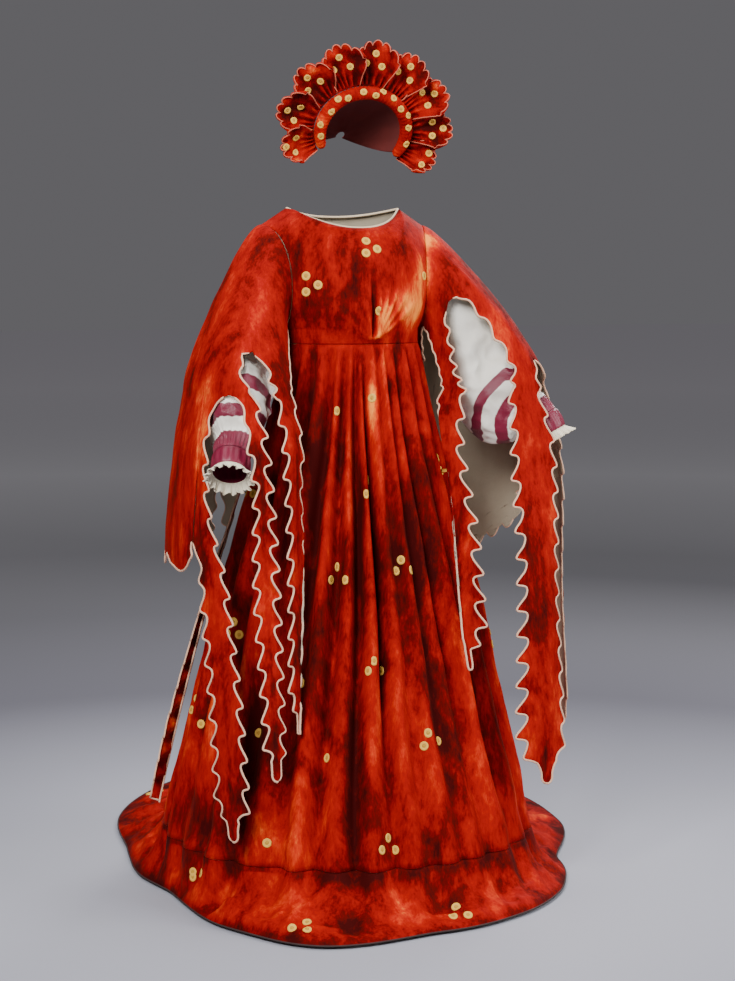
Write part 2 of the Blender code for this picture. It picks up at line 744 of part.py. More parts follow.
def close_cap():
    """The points of the cap behind the roll, from the roll back to the crown."""
    rows = []
    columns = 16
    for s in (0.0, 0.22, 0.45, 0.7, 0.93):
        row = []
        for c in range(columns + 1):
            turn = between(-ROLL_TURN + 8, ROLL_TURN - 8, c / columns)
            right, ahead, up = roll_place(turn, 0.0, -ROLL_RADIUS - SEAM)
            bulge = math.cos(math.radians(90 * s))
            row.append(head_point(right * bulge, ahead - (CAP_DEPTH + ahead * 0.6) * math.sin(math.radians(90 * s)), up * bulge))
        rows.append(row)
    return rows


def build():
    for thing in list(bpy.data.objects):
        bpy.data.objects.remove(thing, do_unlink=True)
    parts = bpy.data.collections.new("stage_costume")
    bpy.context.scene.collection.children.link(parts)

    cloth(parts, "bodice_front", [bodice_panel(True, FRONT_COLUMNS, UPPER_FRONT)], "velvet")
    cloth(parts, "bodice_back", [bodice_panel(False, BACK_COLUMNS, UPPER_BACK)], "velvet")
    neck_piping(parts)

    seams = (*GORE_SEAMS, GORE_SEAMS[0] + len(FOLDS))
    for name, first, last in zip(("front", "side_left", "back", "side_right"), seams, seams[1:]):
        cloth(parts, f"skirt_{name}", [skirt_gore(first, last)], "velvet")
    cloth(parts, "hem_band", [hem_band()], "velvet", closed=True)

    sleeves = {
        "left": ((LEFT_RINGS, LEFT_SLITS, LEFT_PANELS, 1), LEFT_UNDERSLEEVE, LEFT_WRIST),
        "right": ((RIGHT_RINGS, RIGHT_SLITS, RIGHT_PANELS, -1), RIGHT_UNDERSLEEVE, RIGHT_WRIST),
    }
    for name, (sleeve, bag, wrist) in sleeves.items():
        side = sleeve[3]
        grids = [panel_grid(sleeve, k) for k in range(len(sleeve[2]))]
        cloth(parts, f"oversleeve_{name}", grids, "velvet", flip=side < 0)
        cloth(parts, f"undersleeve_{name}", [undersleeve(bag, wrist, side)], "satin", SATIN, True, side < 0)
        cloth(parts, f"cuff_{name}", [cuff(wrist, side)], "crimson", SATIN, True, side < 0)
        cloth(parts, f"frill_{name}", [frill(wrist, side)], "lace", 0.001, True, side < 0)

    padded_roll(parts)
    cloth(parts, "headdress_cap", [close_cap()], "velvet")
    for k, turn in enumerate(PETAL_TURNS):
        cloth(parts, f"petal_{k + 1}", [petal(turn)], "velvet", 0.003)


build()
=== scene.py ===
# Stage gown with petalled headdress: the cloth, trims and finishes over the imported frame.
import bisect
import bpy
from math import atan2, copysign, cos, degrees, exp, hypot, pi, radians, sin, sqrt
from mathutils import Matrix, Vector, noise
from mathutils.bvhtree import BVHTree


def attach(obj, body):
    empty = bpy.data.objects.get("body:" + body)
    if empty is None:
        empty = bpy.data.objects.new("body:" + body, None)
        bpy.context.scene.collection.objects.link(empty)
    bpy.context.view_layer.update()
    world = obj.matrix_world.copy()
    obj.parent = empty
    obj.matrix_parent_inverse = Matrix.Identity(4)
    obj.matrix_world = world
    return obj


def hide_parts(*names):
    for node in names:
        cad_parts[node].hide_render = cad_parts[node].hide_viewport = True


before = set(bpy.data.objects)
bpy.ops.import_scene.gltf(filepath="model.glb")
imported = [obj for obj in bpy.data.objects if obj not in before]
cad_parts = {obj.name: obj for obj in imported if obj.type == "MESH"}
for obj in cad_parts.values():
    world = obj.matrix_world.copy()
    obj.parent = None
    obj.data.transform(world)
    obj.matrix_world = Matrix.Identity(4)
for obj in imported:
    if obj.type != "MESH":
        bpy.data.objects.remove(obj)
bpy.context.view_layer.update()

shoulderHeight = 1.470  # heights below are counted from the floor, the frame from the shoulders


# Camera, floor and light

viewSetup = {
    "turn": -20,
    "distance": 5.0,
    "height": 1.40,
    "tilt": 5.85,
    "middle": (350, 490.5),
    "focal": 2240,
    "picture": (735, 981),
    "sensor": 24,
    # how far from the middle, as a share of floorReach, and the floor's colour there, painted with the fall
    # of the studio light
    "floorReach": 20,
    "paintedFloorLight": [(0.065, (0.42, 0.425, 0.48)), (0.10, (0.26, 0.26, 0.30)), (0.135, (0.14, 0.137, 0.160)),
                   (0.21, (0.18, 0.177, 0.195)), (0.30, (0.29, 0.285, 0.305)), (0.5, (0.80, 0.79, 0.82)),
                   (1.0, (0.99, 0.97, 1.0))],
    "floorEdge": 40,
    "backdrop": (0.125, 0.122, 0.130),
}


def makeCamera(setup):
    data = bpy.data.cameras.new("camera")
    data.sensor_fit = "VERTICAL"
    data.sensor_height = setup["sensor"]
    wide, tall = setup["picture"]
    data.lens = setup["focal"] / tall * setup["sensor"]
    data.shift_x = (wide / 2 - setup["middle"][0]) / tall
    camera = bpy.data.objects.new("camera", data)
    turn = radians(setup["turn"])
    away = setup["distance"]
    camera.location = (away * sin(turn), -away * cos(turn), setup["height"] - shoulderHeight)
    camera.rotation_euler = (radians(90 - setup["tilt"]), 0, turn)
    bpy.context.scene.collection.objects.link(camera)
    bpy.context.scene.camera = camera
    bpy.context.view_layer.update()
    return camera


camera = makeCamera(viewSetup)


def photoRay(x, y):
    # the line of sight through a pixel of the photograph
    middle, focal = viewSetup["middle"], viewSetup["focal"]
    ahead = Vector(((x - middle[0]) / focal, (middle[1] - y) / focal, -1.0))
    return camera.location.copy(), (camera.matrix_world.to_3x3() @ ahead).normalized()


# Shader helpers

class Socket:
    # a link in a material, with the arithmetic signs adding Math nodes
    def __init__(self, paint, link):
        self.paint, self.link = paint, link

    def maths(self, operation, other, swap=False):
        values = [other, self] if swap else [self, other]
        return self.paint.node("ShaderNodeMath", {"operation": operation}, values)

    def __add__(self, other):
        return self.maths("ADD", other)

    def __sub__(self, other):
        return self.maths("SUBTRACT", other)

    def __mul__(self, other):
        return self.maths("MULTIPLY", other)

    def __truediv__(self, other):
        return self.maths("DIVIDE", other)

    def __rsub__(self, other):
        return self.maths("SUBTRACT", other, True)

    def clamped(self):
        return self.paint.node("ShaderNodeClamp", {}, [self])

    __radd__ = __add__
    __rmul__ = __mul__


class Paint:
    def __init__(self, name):
        self.material = bpy.data.materials.new(name)
        self.material.use_nodes = True
        self.tree = self.material.node_tree
        self.shader = self.tree.nodes["Principled BSDF"]

    def node(self, kind, settings, values, out=0):
        made = self.tree.nodes.new(kind)
        for key, value in settings.items():
            if key == "stops":
                ramp = made.color_ramp
                while len(ramp.elements) < len(value):
                    ramp.elements.new(0.5)
                for element, (place, colour) in zip(ramp.elements, value):
                    element.position = place
                    element.color = (*colour, 1)
            else:
                setattr(made, key, value)
        pairs = values.items() if isinstance(values, dict) else enumerate(values)
        for key, value in pairs:
            if isinstance(value, Socket):
                self.tree.links.new(value.link, made.inputs[key])
            elif value is not None:
                made.inputs[key].default_value = value
        return Socket(self, made.outputs[out])

    def place(self, scale=(1, 1, 1)):
        spot = self.node("ShaderNodeTexCoord", {}, [], "Object")
        return self.node("ShaderNodeMapping", {}, {"Vector": spot, "Scale": scale})

    def speckle(self, where, scale, detail=3, rough=0.5, distortion=0.0):
        values = {"Vector": where, "Scale": scale, "Detail": detail}
        values.update({"Roughness": rough, "Distortion": distortion})
        return self.node("ShaderNodeTexNoise", {}, values)

    def ramp(self, value, stops):
        return self.node("ShaderNodeValToRGB", {"stops": stops}, [value])

    def mixed(self, share, first, second):
        return self.node("ShaderNodeMix", {"data_type": "RGBA"}, {0: share, 6: first, 7: second}, 2)

    def own(self, name):
        return self.node("ShaderNodeAttribute", {"attribute_name": name}, [], "Fac")

    def raised(self, height, strength, distance):
        return self.node("ShaderNodeBump", {}, {"Strength": strength, "Distance": distance, "Height": height})

    def wear(self, **values):
        for key, value in values.items():
            socket = self.shader.inputs[key.replace("_", " ")]
            if isinstance(value, Socket):
                self.tree.links.new(value.link, socket)
            else:
                socket.default_value = value
        return self.material


velvetLook = {
    "darkest": (0.040, 0.0003, 0.0002),
    "deep": (0.120, 0.0007, 0.0004),
    "middle": (0.240, 0.0014, 0.0006),
    "lively": (0.345, 0.0038, 0.0010),
    "warm": (0.540, 0.030, 0.003),
    "bright": (0.950, 0.270, 0.035),
    "sheen": 0.03,
    "streak": 0.42,
    # the scale of each layer of marks in the pile, and how much it counts
    "patches": (8, 1.12),
    "crush": (34, 0.40),
    "fine": (190, 0.22),
    # how much the painted highlights and painted shade on each vertex count
    "tone": 0.42,
    "level": -0.40,
}


def velvetMaterial(name, look, lift=0.0):
    p = Paint(name)
    long = p.place((1, 1, look["streak"]))
    patches = p.speckle(long, look["patches"][0], 6, 0.66, 0.4)
    crush = p.speckle(long, look["crush"][0], 5, 0.68, 0.4)
    fine = p.speckle(p.place((1, 1, 0.25)), look["fine"][0], 3, 0.65)
    marks = patches * look["patches"][1] + crush * look["crush"][1] + fine * look["fine"][1]
    # the painted light number on each vertex adds painted highlights and painted shade to the pile's own
    # marks
    value = marks + p.own("tone") * look["tone"] + (look["level"] + lift)
    colour = p.ramp(value, [
        (0.26, look["darkest"]),
        (0.37, look["deep"]),
        (0.45, look["middle"]),
        (0.56, look["lively"]),
        (0.67, look["warm"]),
        (0.84, look["bright"]),
    ])
    pile = p.speckle(p.place(), 1400, 2, 0.7)
    height = crush * 0.6 + fine * 0.25 + pile * 0.12
    return p.wear(
        Base_Color=colour,
        Roughness=0.93 - patches * 0.22,
        Normal=p.raised(height, 0.5, 0.0035),
        Sheen_Weight=look["sheen"],
        Sheen_Roughness=0.38,
        Sheen_Tint=(1.0, 0.16, 0.05, 1),
        Specular_IOR_Level=0.08,
    )


def clothMaterial(name, colour, shade, roughness, weave=900, sheen=0.0):
    p = Paint(name)
    even = p.place()
    soft = p.speckle(even, 9, 4, 0.6, 0.4)
    threads = p.speckle(p.place((1, 1, 0.25)), weave, 2, 0.6)
    across = p.speckle(p.place((0.25, 0.25, 1)), weave, 2, 0.6)
    share = (soft * 0.9 + threads * 0.25 - 0.1).clamped()
    return p.wear(
        Base_Color=p.mixed(share, (*shade, 1), (*colour, 1)),
        Roughness=roughness + 0.12 * soft,
        Normal=p.raised(threads + across, 0.25, 0.0008),
        Sheen_Weight=sheen,
    )


def stripedMaterial(name, look):
    p = Paint(name)
    even = p.place()
    soft = p.speckle(even, 12, 4, 0.6, 0.4)
    threads = p.speckle(p.place((1, 1, 0.3)), 1100, 2, 0.6)
    band = p.own("band")
    edge = p.speckle(even, 160, 2, 0.5) * 0.08
    mask = ((band + edge - 0.49) * 14).clamped()
    ivory = p.mixed(soft, (*look["shade"], 1), (*look["ivory"], 1))
    crimson = p.mixed(soft, (*look["crimsonDark"], 1), (*look["crimson"], 1))
    return p.wear(
        Base_Color=p.mixed(mask, ivory, crimson),
        Roughness=0.34 + 0.2 * soft,
        Normal=p.raised(threads * 0.3 + soft * 2, 0.45, 0.005),
        Sheen_Weight=0.15,
    )


def goldMaterial(name):
    p = Paint(name)
    soft = p.speckle(p.place(), 70, 4, 0.65)
    dull = p.mixed(soft, (0.20, 0.092, 0.006, 1), (0.46, 0.235, 0.018, 1))
    return p.wear(
        # the rim number paints the bright gilding of the discs' raised rings as a painted highlight
        Base_Color=p.mixed(p.own("rim"), dull, (0.68, 0.39, 0.07, 1)),
        Roughness=0.62 - 0.2 * soft,
        Specular_IOR_Level=0.12,
        Normal=p.raised(soft, 0.3, 0.001),
    )


satinLook = {
    "ivory": (0.94, 0.92, 0.86),
    "shade": (0.78, 0.73, 0.62),
    "crimson": (0.25, 0.004, 0.040),
    "crimsonDark": (0.10, 0.002, 0.014),
}
velvet = velvetMaterial("crushedVelvet", velvetLook)
petalVelvet = velvetMaterial("petalVelvet", {**velvetLook, "streak": 1.0}, -0.01)
lining = clothMaterial("liningSateen", (0.52, 0.45, 0.34), (0.30, 0.24, 0.16), 0.7)
satin = stripedMaterial("stripedSatin", satinLook)
crimsonSatin = clothMaterial("crimsonSatin", (0.24, 0.006, 0.04), (0.09, 0.002, 0.014), 0.4)
lace = clothMaterial("creamLace", (0.86, 0.80, 0.64), (0.55, 0.47, 0.34), 0.75, 420)
piping = clothMaterial("salmonPiping", (0.80, 0.52, 0.36), (0.62, 0.33, 0.20), 0.6, 700)
neckCord = clothMaterial("creamCord", (0.76, 0.62, 0.44), (0.55, 0.40, 0.25), 0.6, 700)
binding = clothMaterial("hemBinding", (0.045, 0.020, 0.018), (0.018, 0.007, 0.007), 0.8, 700)
capLining = clothMaterial("capLining", (0.15, 0.012, 0.008), (0.07, 0.005, 0.004), 0.8)
petalCord = clothMaterial("petalCord", (0.66, 0.16, 0.08), (0.42, 0.06, 0.03), 0.65, 700)
gold = goldMaterial("goldDisc")
print("finishes made")


# Reading tables and making sheets

def between(a, b, share):
    return a + (b - a) * share


def ease(value, low, high):
    share = min(max((value - low) / (high - low), 0.0), 1.0)
    return share * share * (3 - 2 * share)


def reader(rows):
    # gives a function that reads a table along smooth curves through its rows
    rows = sorted(rows)
    keys = [row[0] for row in rows]
    width = len(rows[0]) - 1
    slopes = [
        [(b[c + 1] - a[c + 1]) / (b[0] - a[0]) for c in range(width)] for a, b in zip(rows, rows[1:])
    ]
    tangents = [slopes[0]]
    for low, high in zip(slopes, slopes[1:]):
        tangents.append([2 * l * h / (l + h) if l * h > 0 else 0.0 for l, h in zip(low, high)])
    tangents.append(slopes[-1])

    def read(key):
        key = min(max(key, keys[0]), keys[-1])
        i = min(max(bisect.bisect_right(keys, key) - 1, 0), len(keys) - 2)
        step = keys[i + 1] - keys[i]
        s = (key - keys[i]) / step
        a, b, ta, tb = rows[i], rows[i + 1], tangents[i], tangents[i + 1]
        h00, h10 = 2 * s**3 - 3 * s**2 + 1, s**3 - 2 * s**2 + s
        h01, h11 = 3 * s**2 - 2 * s**3, s**3 - s**2
        values = []
        for c in range(width):
            values.append(a[c + 1] * h00 + ta[c] * step * h10 + b[c + 1] * h01 + tb[c] * step * h11)
        return values if width > 1 else values[0]

    return read


surfaces = []  # outer faces of the cloth, which the discs lie on


def newPiece(name, vertices, faces, materials):
    mesh = bpy.data.meshes.new(name)
    mesh.from_pydata(vertices, [], faces)
    mesh.shade_smooth()
    for material in materials:
        mesh.materials.append(material)
    piece = bpy.data.objects.new(name, mesh)
    bpy.context.scene.collection.objects.link(piece)
    return piece


def mark(piece, name, numbers):
    # a number on each vertex, which the materials read
    piece.data.attributes.new(name, "FLOAT", "POINT").data.foreach_set("value", numbers)


def woven(keys, columns, cell):
    # rows of points and of their tones of painted light and shade, from a function that gives both for a
    # row's key and a column
    rows, paintedLightTones = [], []
    for key in keys:
        pairs = [cell(key, c) for c in range(columns)]
        rows.append([point for point, tone in pairs])
        paintedLightTones.append([tone for point, tone in pairs])
    return rows, paintedLightTones


def mirrored(row, side):
    return [Vector((side * p.x, p.y, p.z)) for p in row]


def sheetPiece(name, grids, materials, marks=None, markName="tone", wall=0.0022, **kind):
    # one piece of cloth from grids of points; marks are grids of numbers, one for each grid of points;
    # kind may say closed, flip or hidden, and hidden cloth takes no discs
    closed, flip = kind.get("closed", False), kind.get("flip", False)
    vertices, faces, numbers, found = [], [], [], {}
    for g, grid in enumerate(grids):
        index = []
        for r, row in enumerate(grid):
            line = []
            for c, point in enumerate(row):
                key = (round(point.x, 5), round(point.y, 5), round(point.z, 5))
                if key not in found:
                    found[key] = len(vertices)
                    vertices.append((point.x, point.y, point.z - shoulderHeight))
                    if marks:
                        numbers.append(marks[g][r][c])
                line.append(found[key])
            index.append(line)
        for upper, lower in zip(index, index[1:]):
            count = len(upper)
            for c in range(count if closed else count - 1):
                n = (c + 1) % count
                corners = list(dict.fromkeys([upper[c], lower[c], lower[n], upper[n]]))
                if len(corners) > 2:
                    faces.append(corners[::-1] if flip else corners)
    piece = newPiece(name, vertices, faces, materials)
    piece.data.validate()
    if marks:
        mark(piece, markName, numbers)
    if wall:
        thickness = piece.modifiers.new("wall", "SOLIDIFY")
        thickness.thickness = wall
        thickness.offset = -1
        thickness.material_offset = len(materials) - 1
    if not kind.get("hidden", False):
        surfaces.append(([Vector(v) for v in vertices], faces))
    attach(piece, "root")
    return piece


def cordPiece(name, paths, radius, material, sides=6):
    # thin cords along lines of points; each path is (points, closed)
    vertices, faces = [], []
    for points, closed in paths:
        points = [p for k, p in enumerate(points) if k == 0 or (p - points[k - 1]).length > 0.0004]
        count = len(points)
        if count < 3:
            continue
        up = Vector((0.13, 0.31, 0.94))
        base = len(vertices)
        for k, point in enumerate(points):
            ahead = points[(k + 1) % count] if closed or k < count - 1 else point
            behind = points[k - 1] if closed or k > 0 else point
            along = (ahead - behind).normalized()
            side = along.cross(up)
            if side.length < 0.05:
                side = along.cross(Vector((1, 0, 0)))
            side.normalize()
            up = side.cross(along).normalized()
            thick = radius * (0.5 if not closed and k in (0, count - 1) else 1.0)
            for s in range(sides):
                angle = 2 * pi * s / sides
                p = point + (side * cos(angle) + up * sin(angle)) * thick
                vertices.append((p.x, p.y, p.z - shoulderHeight))
        for k in range(count if closed else count - 1):
            a, b = base + k * sides, base + (k + 1) % count * sides
            for s in range(sides):
                n = (s + 1) % sides
                faces.append((a + s, b + s, b + n, a + n))
        if not closed:
            faces.append(tuple(base + s for s in range(sides)))
            faces.append(tuple(base + (count - 1) * sides + s for s in reversed(range(sides))))
    piece = newPiece(name, vertices, faces, [material])
    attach(piece, "root")
    return piece


def waver(x, y, z):
    return noise.noise(Vector((x, y, z)))


def wrinkle(point, scale, seed):
    return waver(point.x * scale + seed, point.y * scale - seed, point.z * scale * 0.6)


def ridged(point, scale, seed):
    return 1 - 2 * abs(waver(point.x * scale + seed, point.y * scale + 2 * seed, point.z * scale))


# Bodice

bodice = {
    # heights and places of the half on the +X side, in metres
    "waistHeight": 1.220,
    "waistSide": 0.150,
    "waistCentre": -0.015,
    "foot": Vector((0.157, 0.005, 1.252)),
    "chestFront": Vector((0.157, -0.066, 1.343)),
    "chestBack": Vector((0.157, 0.095, 1.343)),
    "tip": Vector((0.190, 0.050, 1.480)),
    "neckSide": Vector((0.1343, 0.050, 1.516)),
    "neckFront": (-0.062, 1.472),
    "neckBack": (0.112, 1.498),
    "chestStep": 0.4,
    # the middle line, up from the waist: height, depth, and how far the panel wraps round
    "front": reader([(0.0, 1.220, -0.128, 90), (0.3, 1.252, -0.137, 86),
                     (0.6, 1.293, -0.143, 74), (1.0, 1.343, -0.137, 62)]),
    "back": reader([(0.0, 1.220, 0.090, 90), (0.3, 1.252, 0.099, 86),
                    (0.6, 1.298, 0.121, 74), (1.0, 1.353, 0.138, 64)]),
    "columns": 116,
    "rows": 96,
    # gathers that spread from the middle of the waist: where they end across and up, width, depth
    "gathers": ((0.004, 1.385, 0.0050, -0.0110), (0.024, 1.360, 0.0052, 0.0068),
                (0.046, 1.352, 0.0046, 0.0072), (0.070, 1.350, 0.0052, 0.0078),
                (0.096, 1.338, 0.0060, 0.0070), (0.125, 1.318, 0.0072, 0.0056),
                (-0.024, 1.340, 0.0060, 0.0040), (-0.055, 1.335, 0.0080, 0.0036),
                (-0.095, 1.312, 0.0090, 0.0034)),
    "seam": 0.0009,
    "neckCord": 0.0026,
}


def blend(a, b, x, y, z):
    # from one point to another, with a share of its own for each direction
    return Vector((between(a.x, b.x, x), between(a.y, b.y, y), between(a.z, b.z, z)))


def armArch(foot, top, share):
    angle = radians(90 * share)
    turned = 1 - cos(angle)
    return blend(foot, top, turned, turned, sin(angle))


def armhole(turn):
    front = turn <= 0.5
    step = (turn if front else 1 - turn) * 2
    chest = bodice["chestFront"] if front else bodice["chestBack"]
    if step >= bodice["chestStep"]:
        return armArch(chest, bodice["tip"], (step - bodice["chestStep"]) / (1 - bodice["chestStep"]))
    angle = radians(90 * step / bodice["chestStep"])
    return blend(bodice["foot"], chest, 0.0, sin(angle), 1 - cos(angle))


def bodiceEdge(step, front):
    if step < 0.3:
        share = step / 0.3
        start = Vector((bodice["waistSide"], bodice["waistCentre"], bodice["waistHeight"]))
        return start.lerp(bodice["foot"], share)
    turn = (step - 0.3) / 0.7 * bodice["chestStep"] / 2
    return armhole(turn if front else 1 - turn)


def bodiceChest(step, across, front):
    height, y, wrap = bodice["front" if front else "back"](step)
    edge = bodiceEdge(step, front)
    angle, whole = radians(wrap * abs(across)), radians(wrap)
    turned = (1 - cos(angle)) / (1 - cos(whole))
    x = edge.x * sin(angle) / sin(whole)
    return Vector((copysign(x, across), between(y, edge.y, turned), between(height, edge.z, turned)))


def bodiceTop(across, front):
    tip, neck = bodice["tip"], bodice["neckSide"]
    x = tip.x * sin(radians(90 * abs(across)))
    if x > neck.x:
        point = neck.lerp(tip, (x - neck.x) / (tip.x - neck.x))
    else:
        y, height = bodice["neckFront" if front else "neckBack"]
        share = x / neck.x
        point = Vector((x, between(y, neck.y, share**2.4), between(height, neck.z, share**2.2)))
    point.x = copysign(point.x, across)
    point.y -= bodice["seam"] if front else -bodice["seam"]
    return point


def gatherDepth(point, front):
    # soft troughs and ridges of the bodice's front, and light creases behind
    out = 0.0008 * wrinkle(point, 30, 3.1) + 0.0022 * wrinkle(point, 11, 7.7)
    if not front:
        return out + 0.0018 * ridged(point, 9, 1.3) * ease(point.z, 1.22, 1.26)
    foot = Vector((0.006, 1.222))
    spot = Vector((point.x, point.z))
    for x, z, wide, depth in bodice["gathers"]:
        line = Vector((x, z)) - foot
        along = (spot - foot).dot(line) / line.length_squared
        away = abs((spot - foot).cross(line)) / line.length
        fade = ease(along, 0.0, 0.10) * (1 - ease(along, 0.55, 1.05))
        out += depth * fade * exp(-((away / (wide * (0.5 + 0.7 * max(along, 0)))) ** 2))
    return out


def bodicePanel(front):
    columns, count = bodice["columns"], bodice["rows"]
    side = -1 if front else 1
    above, below = count * 0.55, count * 0.45
    keys = [(True, 1 - k / above) for k in range(int(above))]
    keys += [(False, 1 - k / below) for k in range(int(below))] + [(False, 0.0)]

    def cell(key, c):
        upper, share = key
        across = -side * (2 * c / columns - 1)
        if upper:
            point = armArch(bodiceChest(1.0, across, front), bodiceTop(across, front), share)
        else:
            point = bodiceChest(share, across, front)
        if abs(across) == 1:
            point.x -= copysign(0.00025, across)
            point.y += side * bodice["seam"]
        near = 1 - ease(abs(across), 0.90, 1.0)
        near *= 1 - ease(share, 0.80, 1.0) if upper else ease(share, 0.0, 0.12)
        depth = gatherDepth(point, front) * near
        outward = Vector((point.x * 0.6, point.y, 0.04)).normalized()
        # the gathers' depth is painted into the tone too: painted highlight on the ridges, painted shade in
        # the troughs
        return point + outward * depth, depth * 60

    return woven(keys, columns + 1, cell)


frontRows, frontPaintedLightTones = bodicePanel(True)
backRows, backPaintedLightTones = bodicePanel(False)


# Painted highlights and painted shade, at places of the photograph where the light catches the pile or leaves
# it dark, as a pixel, its reach across and down, and how much lighter or darker

patches = (
    (421, 268, 10, 24, 0.8), (404, 300, 12, 26, 0.6), (414, 304, 10, 22, 0.8), (424, 232, 12, 12, 0.6),
    (388, 310, 5, 30, 0.4), (376, 262, 10, 30, 0.05), (320, 300, 30, 45, -0.22), (345, 300, 20, 40, -0.15),
    (372, 405, 5, 35, 0.7), (384, 362, 4, 22, 0.5), (350, 450, 5, 60, 0.4), (315, 470, 10, 110, -0.45),
    (341, 480, 6, 80, -0.30), (362, 500, 5, 90, -0.35), (404, 470, 6, 30, 0.40), (332, 690, 6, 70, 0.15),
    (300, 810, 16, 60, -0.25), (380, 750, 60, 70, -0.22), (356, 780, 14, 60, -0.3), (430, 640, 30, 60, -0.15),
    (305, 640, 12, 100, -0.25), (200, 430, 12, 60, 0.25), (180, 520, 10, 40, 0.15), (270, 300, 14, 60, 0.1),
    (240, 800, 16, 40, -0.2), (288, 780, 8, 70, 0.15), (176, 800, 30, 30, -0.45), (500, 330, 14, 30, 0.1),
    (450, 340, 16, 60, -0.15), (470, 880, 30, 10, 0.2), (300, 905, 40, 12, 0.15), (420, 905, 30, 14, 0.15),
)


toCamera = camera.matrix_world.inverted()


def paintedPatchLight(point, outward):
    # the painted highlight and painted shade of the patches, on the side of the cloth that faces the front
    turn = radians(viewSetup["turn"])
    facing = outward.x * sin(turn) - outward.y * cos(turn)
    if facing < 0.05:
        return 0.0
    spot = toCamera @ Vector((point.x, point.y, point.z - shoulderHeight))
    middle, focal = viewSetup["middle"], viewSetup["focal"]
    x, y = middle[0] - focal * spot.x / spot.z, middle[1] + focal * spot.y / spot.z
    tone = 0.0
    for px, py, wide, tall, amount in patches:
        away = ((x - px) / wide) ** 2 + ((y - py) / tall) ** 2
        if away < 4:
            tone += amount * exp(-away)
    return tone * ease(facing, 0.05, 0.35)


# painted highlights and painted shade from the patches on the bodice's front
for row, tone in zip(frontRows, frontPaintedLightTones):
    for c, point in enumerate(row):
        tone[c] += paintedPatchLight(point, Vector((point.x, point.y - 0.02, 0)).normalized())
bodiceFront = sheetPiece("bodiceFront", [frontRows], [velvet, lining], [frontPaintedLightTones])
bodiceBack = sheetPiece("bodiceBack", [backRows], [velvet, lining], [backPaintedLightTones])
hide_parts("bodice_front")
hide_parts("bodice_back")


def neckLine():
    points = []
    steps = 70
    for front, sign in ((True, 1), (False, -1)):
        for k in range(steps + 1):
            across = sign * (k / steps - 0.5)
            point = bodiceTop(across, front)
            if points and (point - points[-1]).length < 0.002:
                continue
            points.append(point)
    centre = sum(points, Vector()) / len(points)
    made = []
    for point in points:
        inward = centre - point
        inward.z = 0
        made.append(point + inward.normalized() * bodice["neckCord"] + Vector((0, 0, 0.0006)))
    return made[:-1]


neckEdge = cordPiece("neckCord", [(neckLine(), True)], bodice["neckCord"], neckCord, 10)
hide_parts("neck_piping")
print("bodice made")


# Skirt and hem band

skirt = {
    # at each height: how far the skirt reaches in front, at the sides and behind
    "reach": reader([(1.22, 0.113, 0.150, 0.105), (1.11, 0.138, 0.170, 0.140), (0.96, 0.172, 0.208, 0.200),
                     (0.70, 0.222, 0.278, 0.300), (0.40, 0.292, 0.345, 0.430), (0.12, 0.372, 0.405, 0.580)]),
    "join": 0.12,
    # the hem's reach at each bearing, with 0 in front
    "hem": reader([(-180, 1.150), (-154, 0.815), (-134, 0.590), (-112, 0.490), (-90, 0.425),
                   (-51, 0.485), (-28, 0.535), (4, 0.472), (46, 0.478), (86, 0.505), (115, 0.730),
                   (145, 1.020), (180, 1.150)]),
    "band": reader([(0.0, 0.12), (0.2, 0.060), (0.45, 0.026), (0.75, 0.013), (1.0, 0.0085)]),
    "depth": reader([(1.22, 0.0), (1.19, 0.006), (1.05, 0.014), (0.80, 0.024), (0.40, 0.030),
                     (0.11, 0.022), (0.0, 0.003)]),
    # folds: bearing at the waist, bearing at the floor, half width, depth share
    "folds": [(-82, -84, 9, 0.8), (-66, -69, 8, 1.0), (-50, -54, 9, 0.7), (-36, -38, 7, 1.1),
              (-24, -25, 7, 0.9), (-12, -12, 7, 1.2), (0, 1, 6, 0.8), (11, 13, 7, 0.8),
              (24, 26, 8, 0.55), (40, 40, 9, 0.75), (57, 55, 9, 0.6), (74, 72, 9, 0.8)],
    # sharp valleys between folds: bearing at the waist, at the floor, half width, depth
    "valleys": [(-38, -43, 4.5, 0.024), (-27, -32, 4.0, 0.020), (-17, -18, 3.2, 0.022),
                (-9, -3, 2.4, 0.026), (8, 9, 2.2, 0.008), (18, 21, 3.0, 0.008), (30, 33, 4.2, 0.016),
                (49, 46, 4.4, 0.012), (65, 63, 4, 0.016), (-58, -61, 4, 0.020), (-73, -77, 4, 0.018)],
    # the regular folds behind: bearing of the first and the step to the next
    "backFold": (91, 170 / 11),
    "columns": 372,
    "rows": 96,
    "bandRows": 44,
}
firstFold, foldStep = skirt["backFold"]
for number in range(12):
    there = firstFold + foldStep * number
    skirt["folds"].append((there, there, 0.55 * foldStep, 0.8 + 0.3 * (number % 3) / 2))
    if number < 11:
        skirt["valleys"].append((there + 7.7, there + 7.7, 3.6, 0.016 + 0.004 * (number % 2)))


def wrapped(bearing):
    return (bearing + 180) % 360 - 180


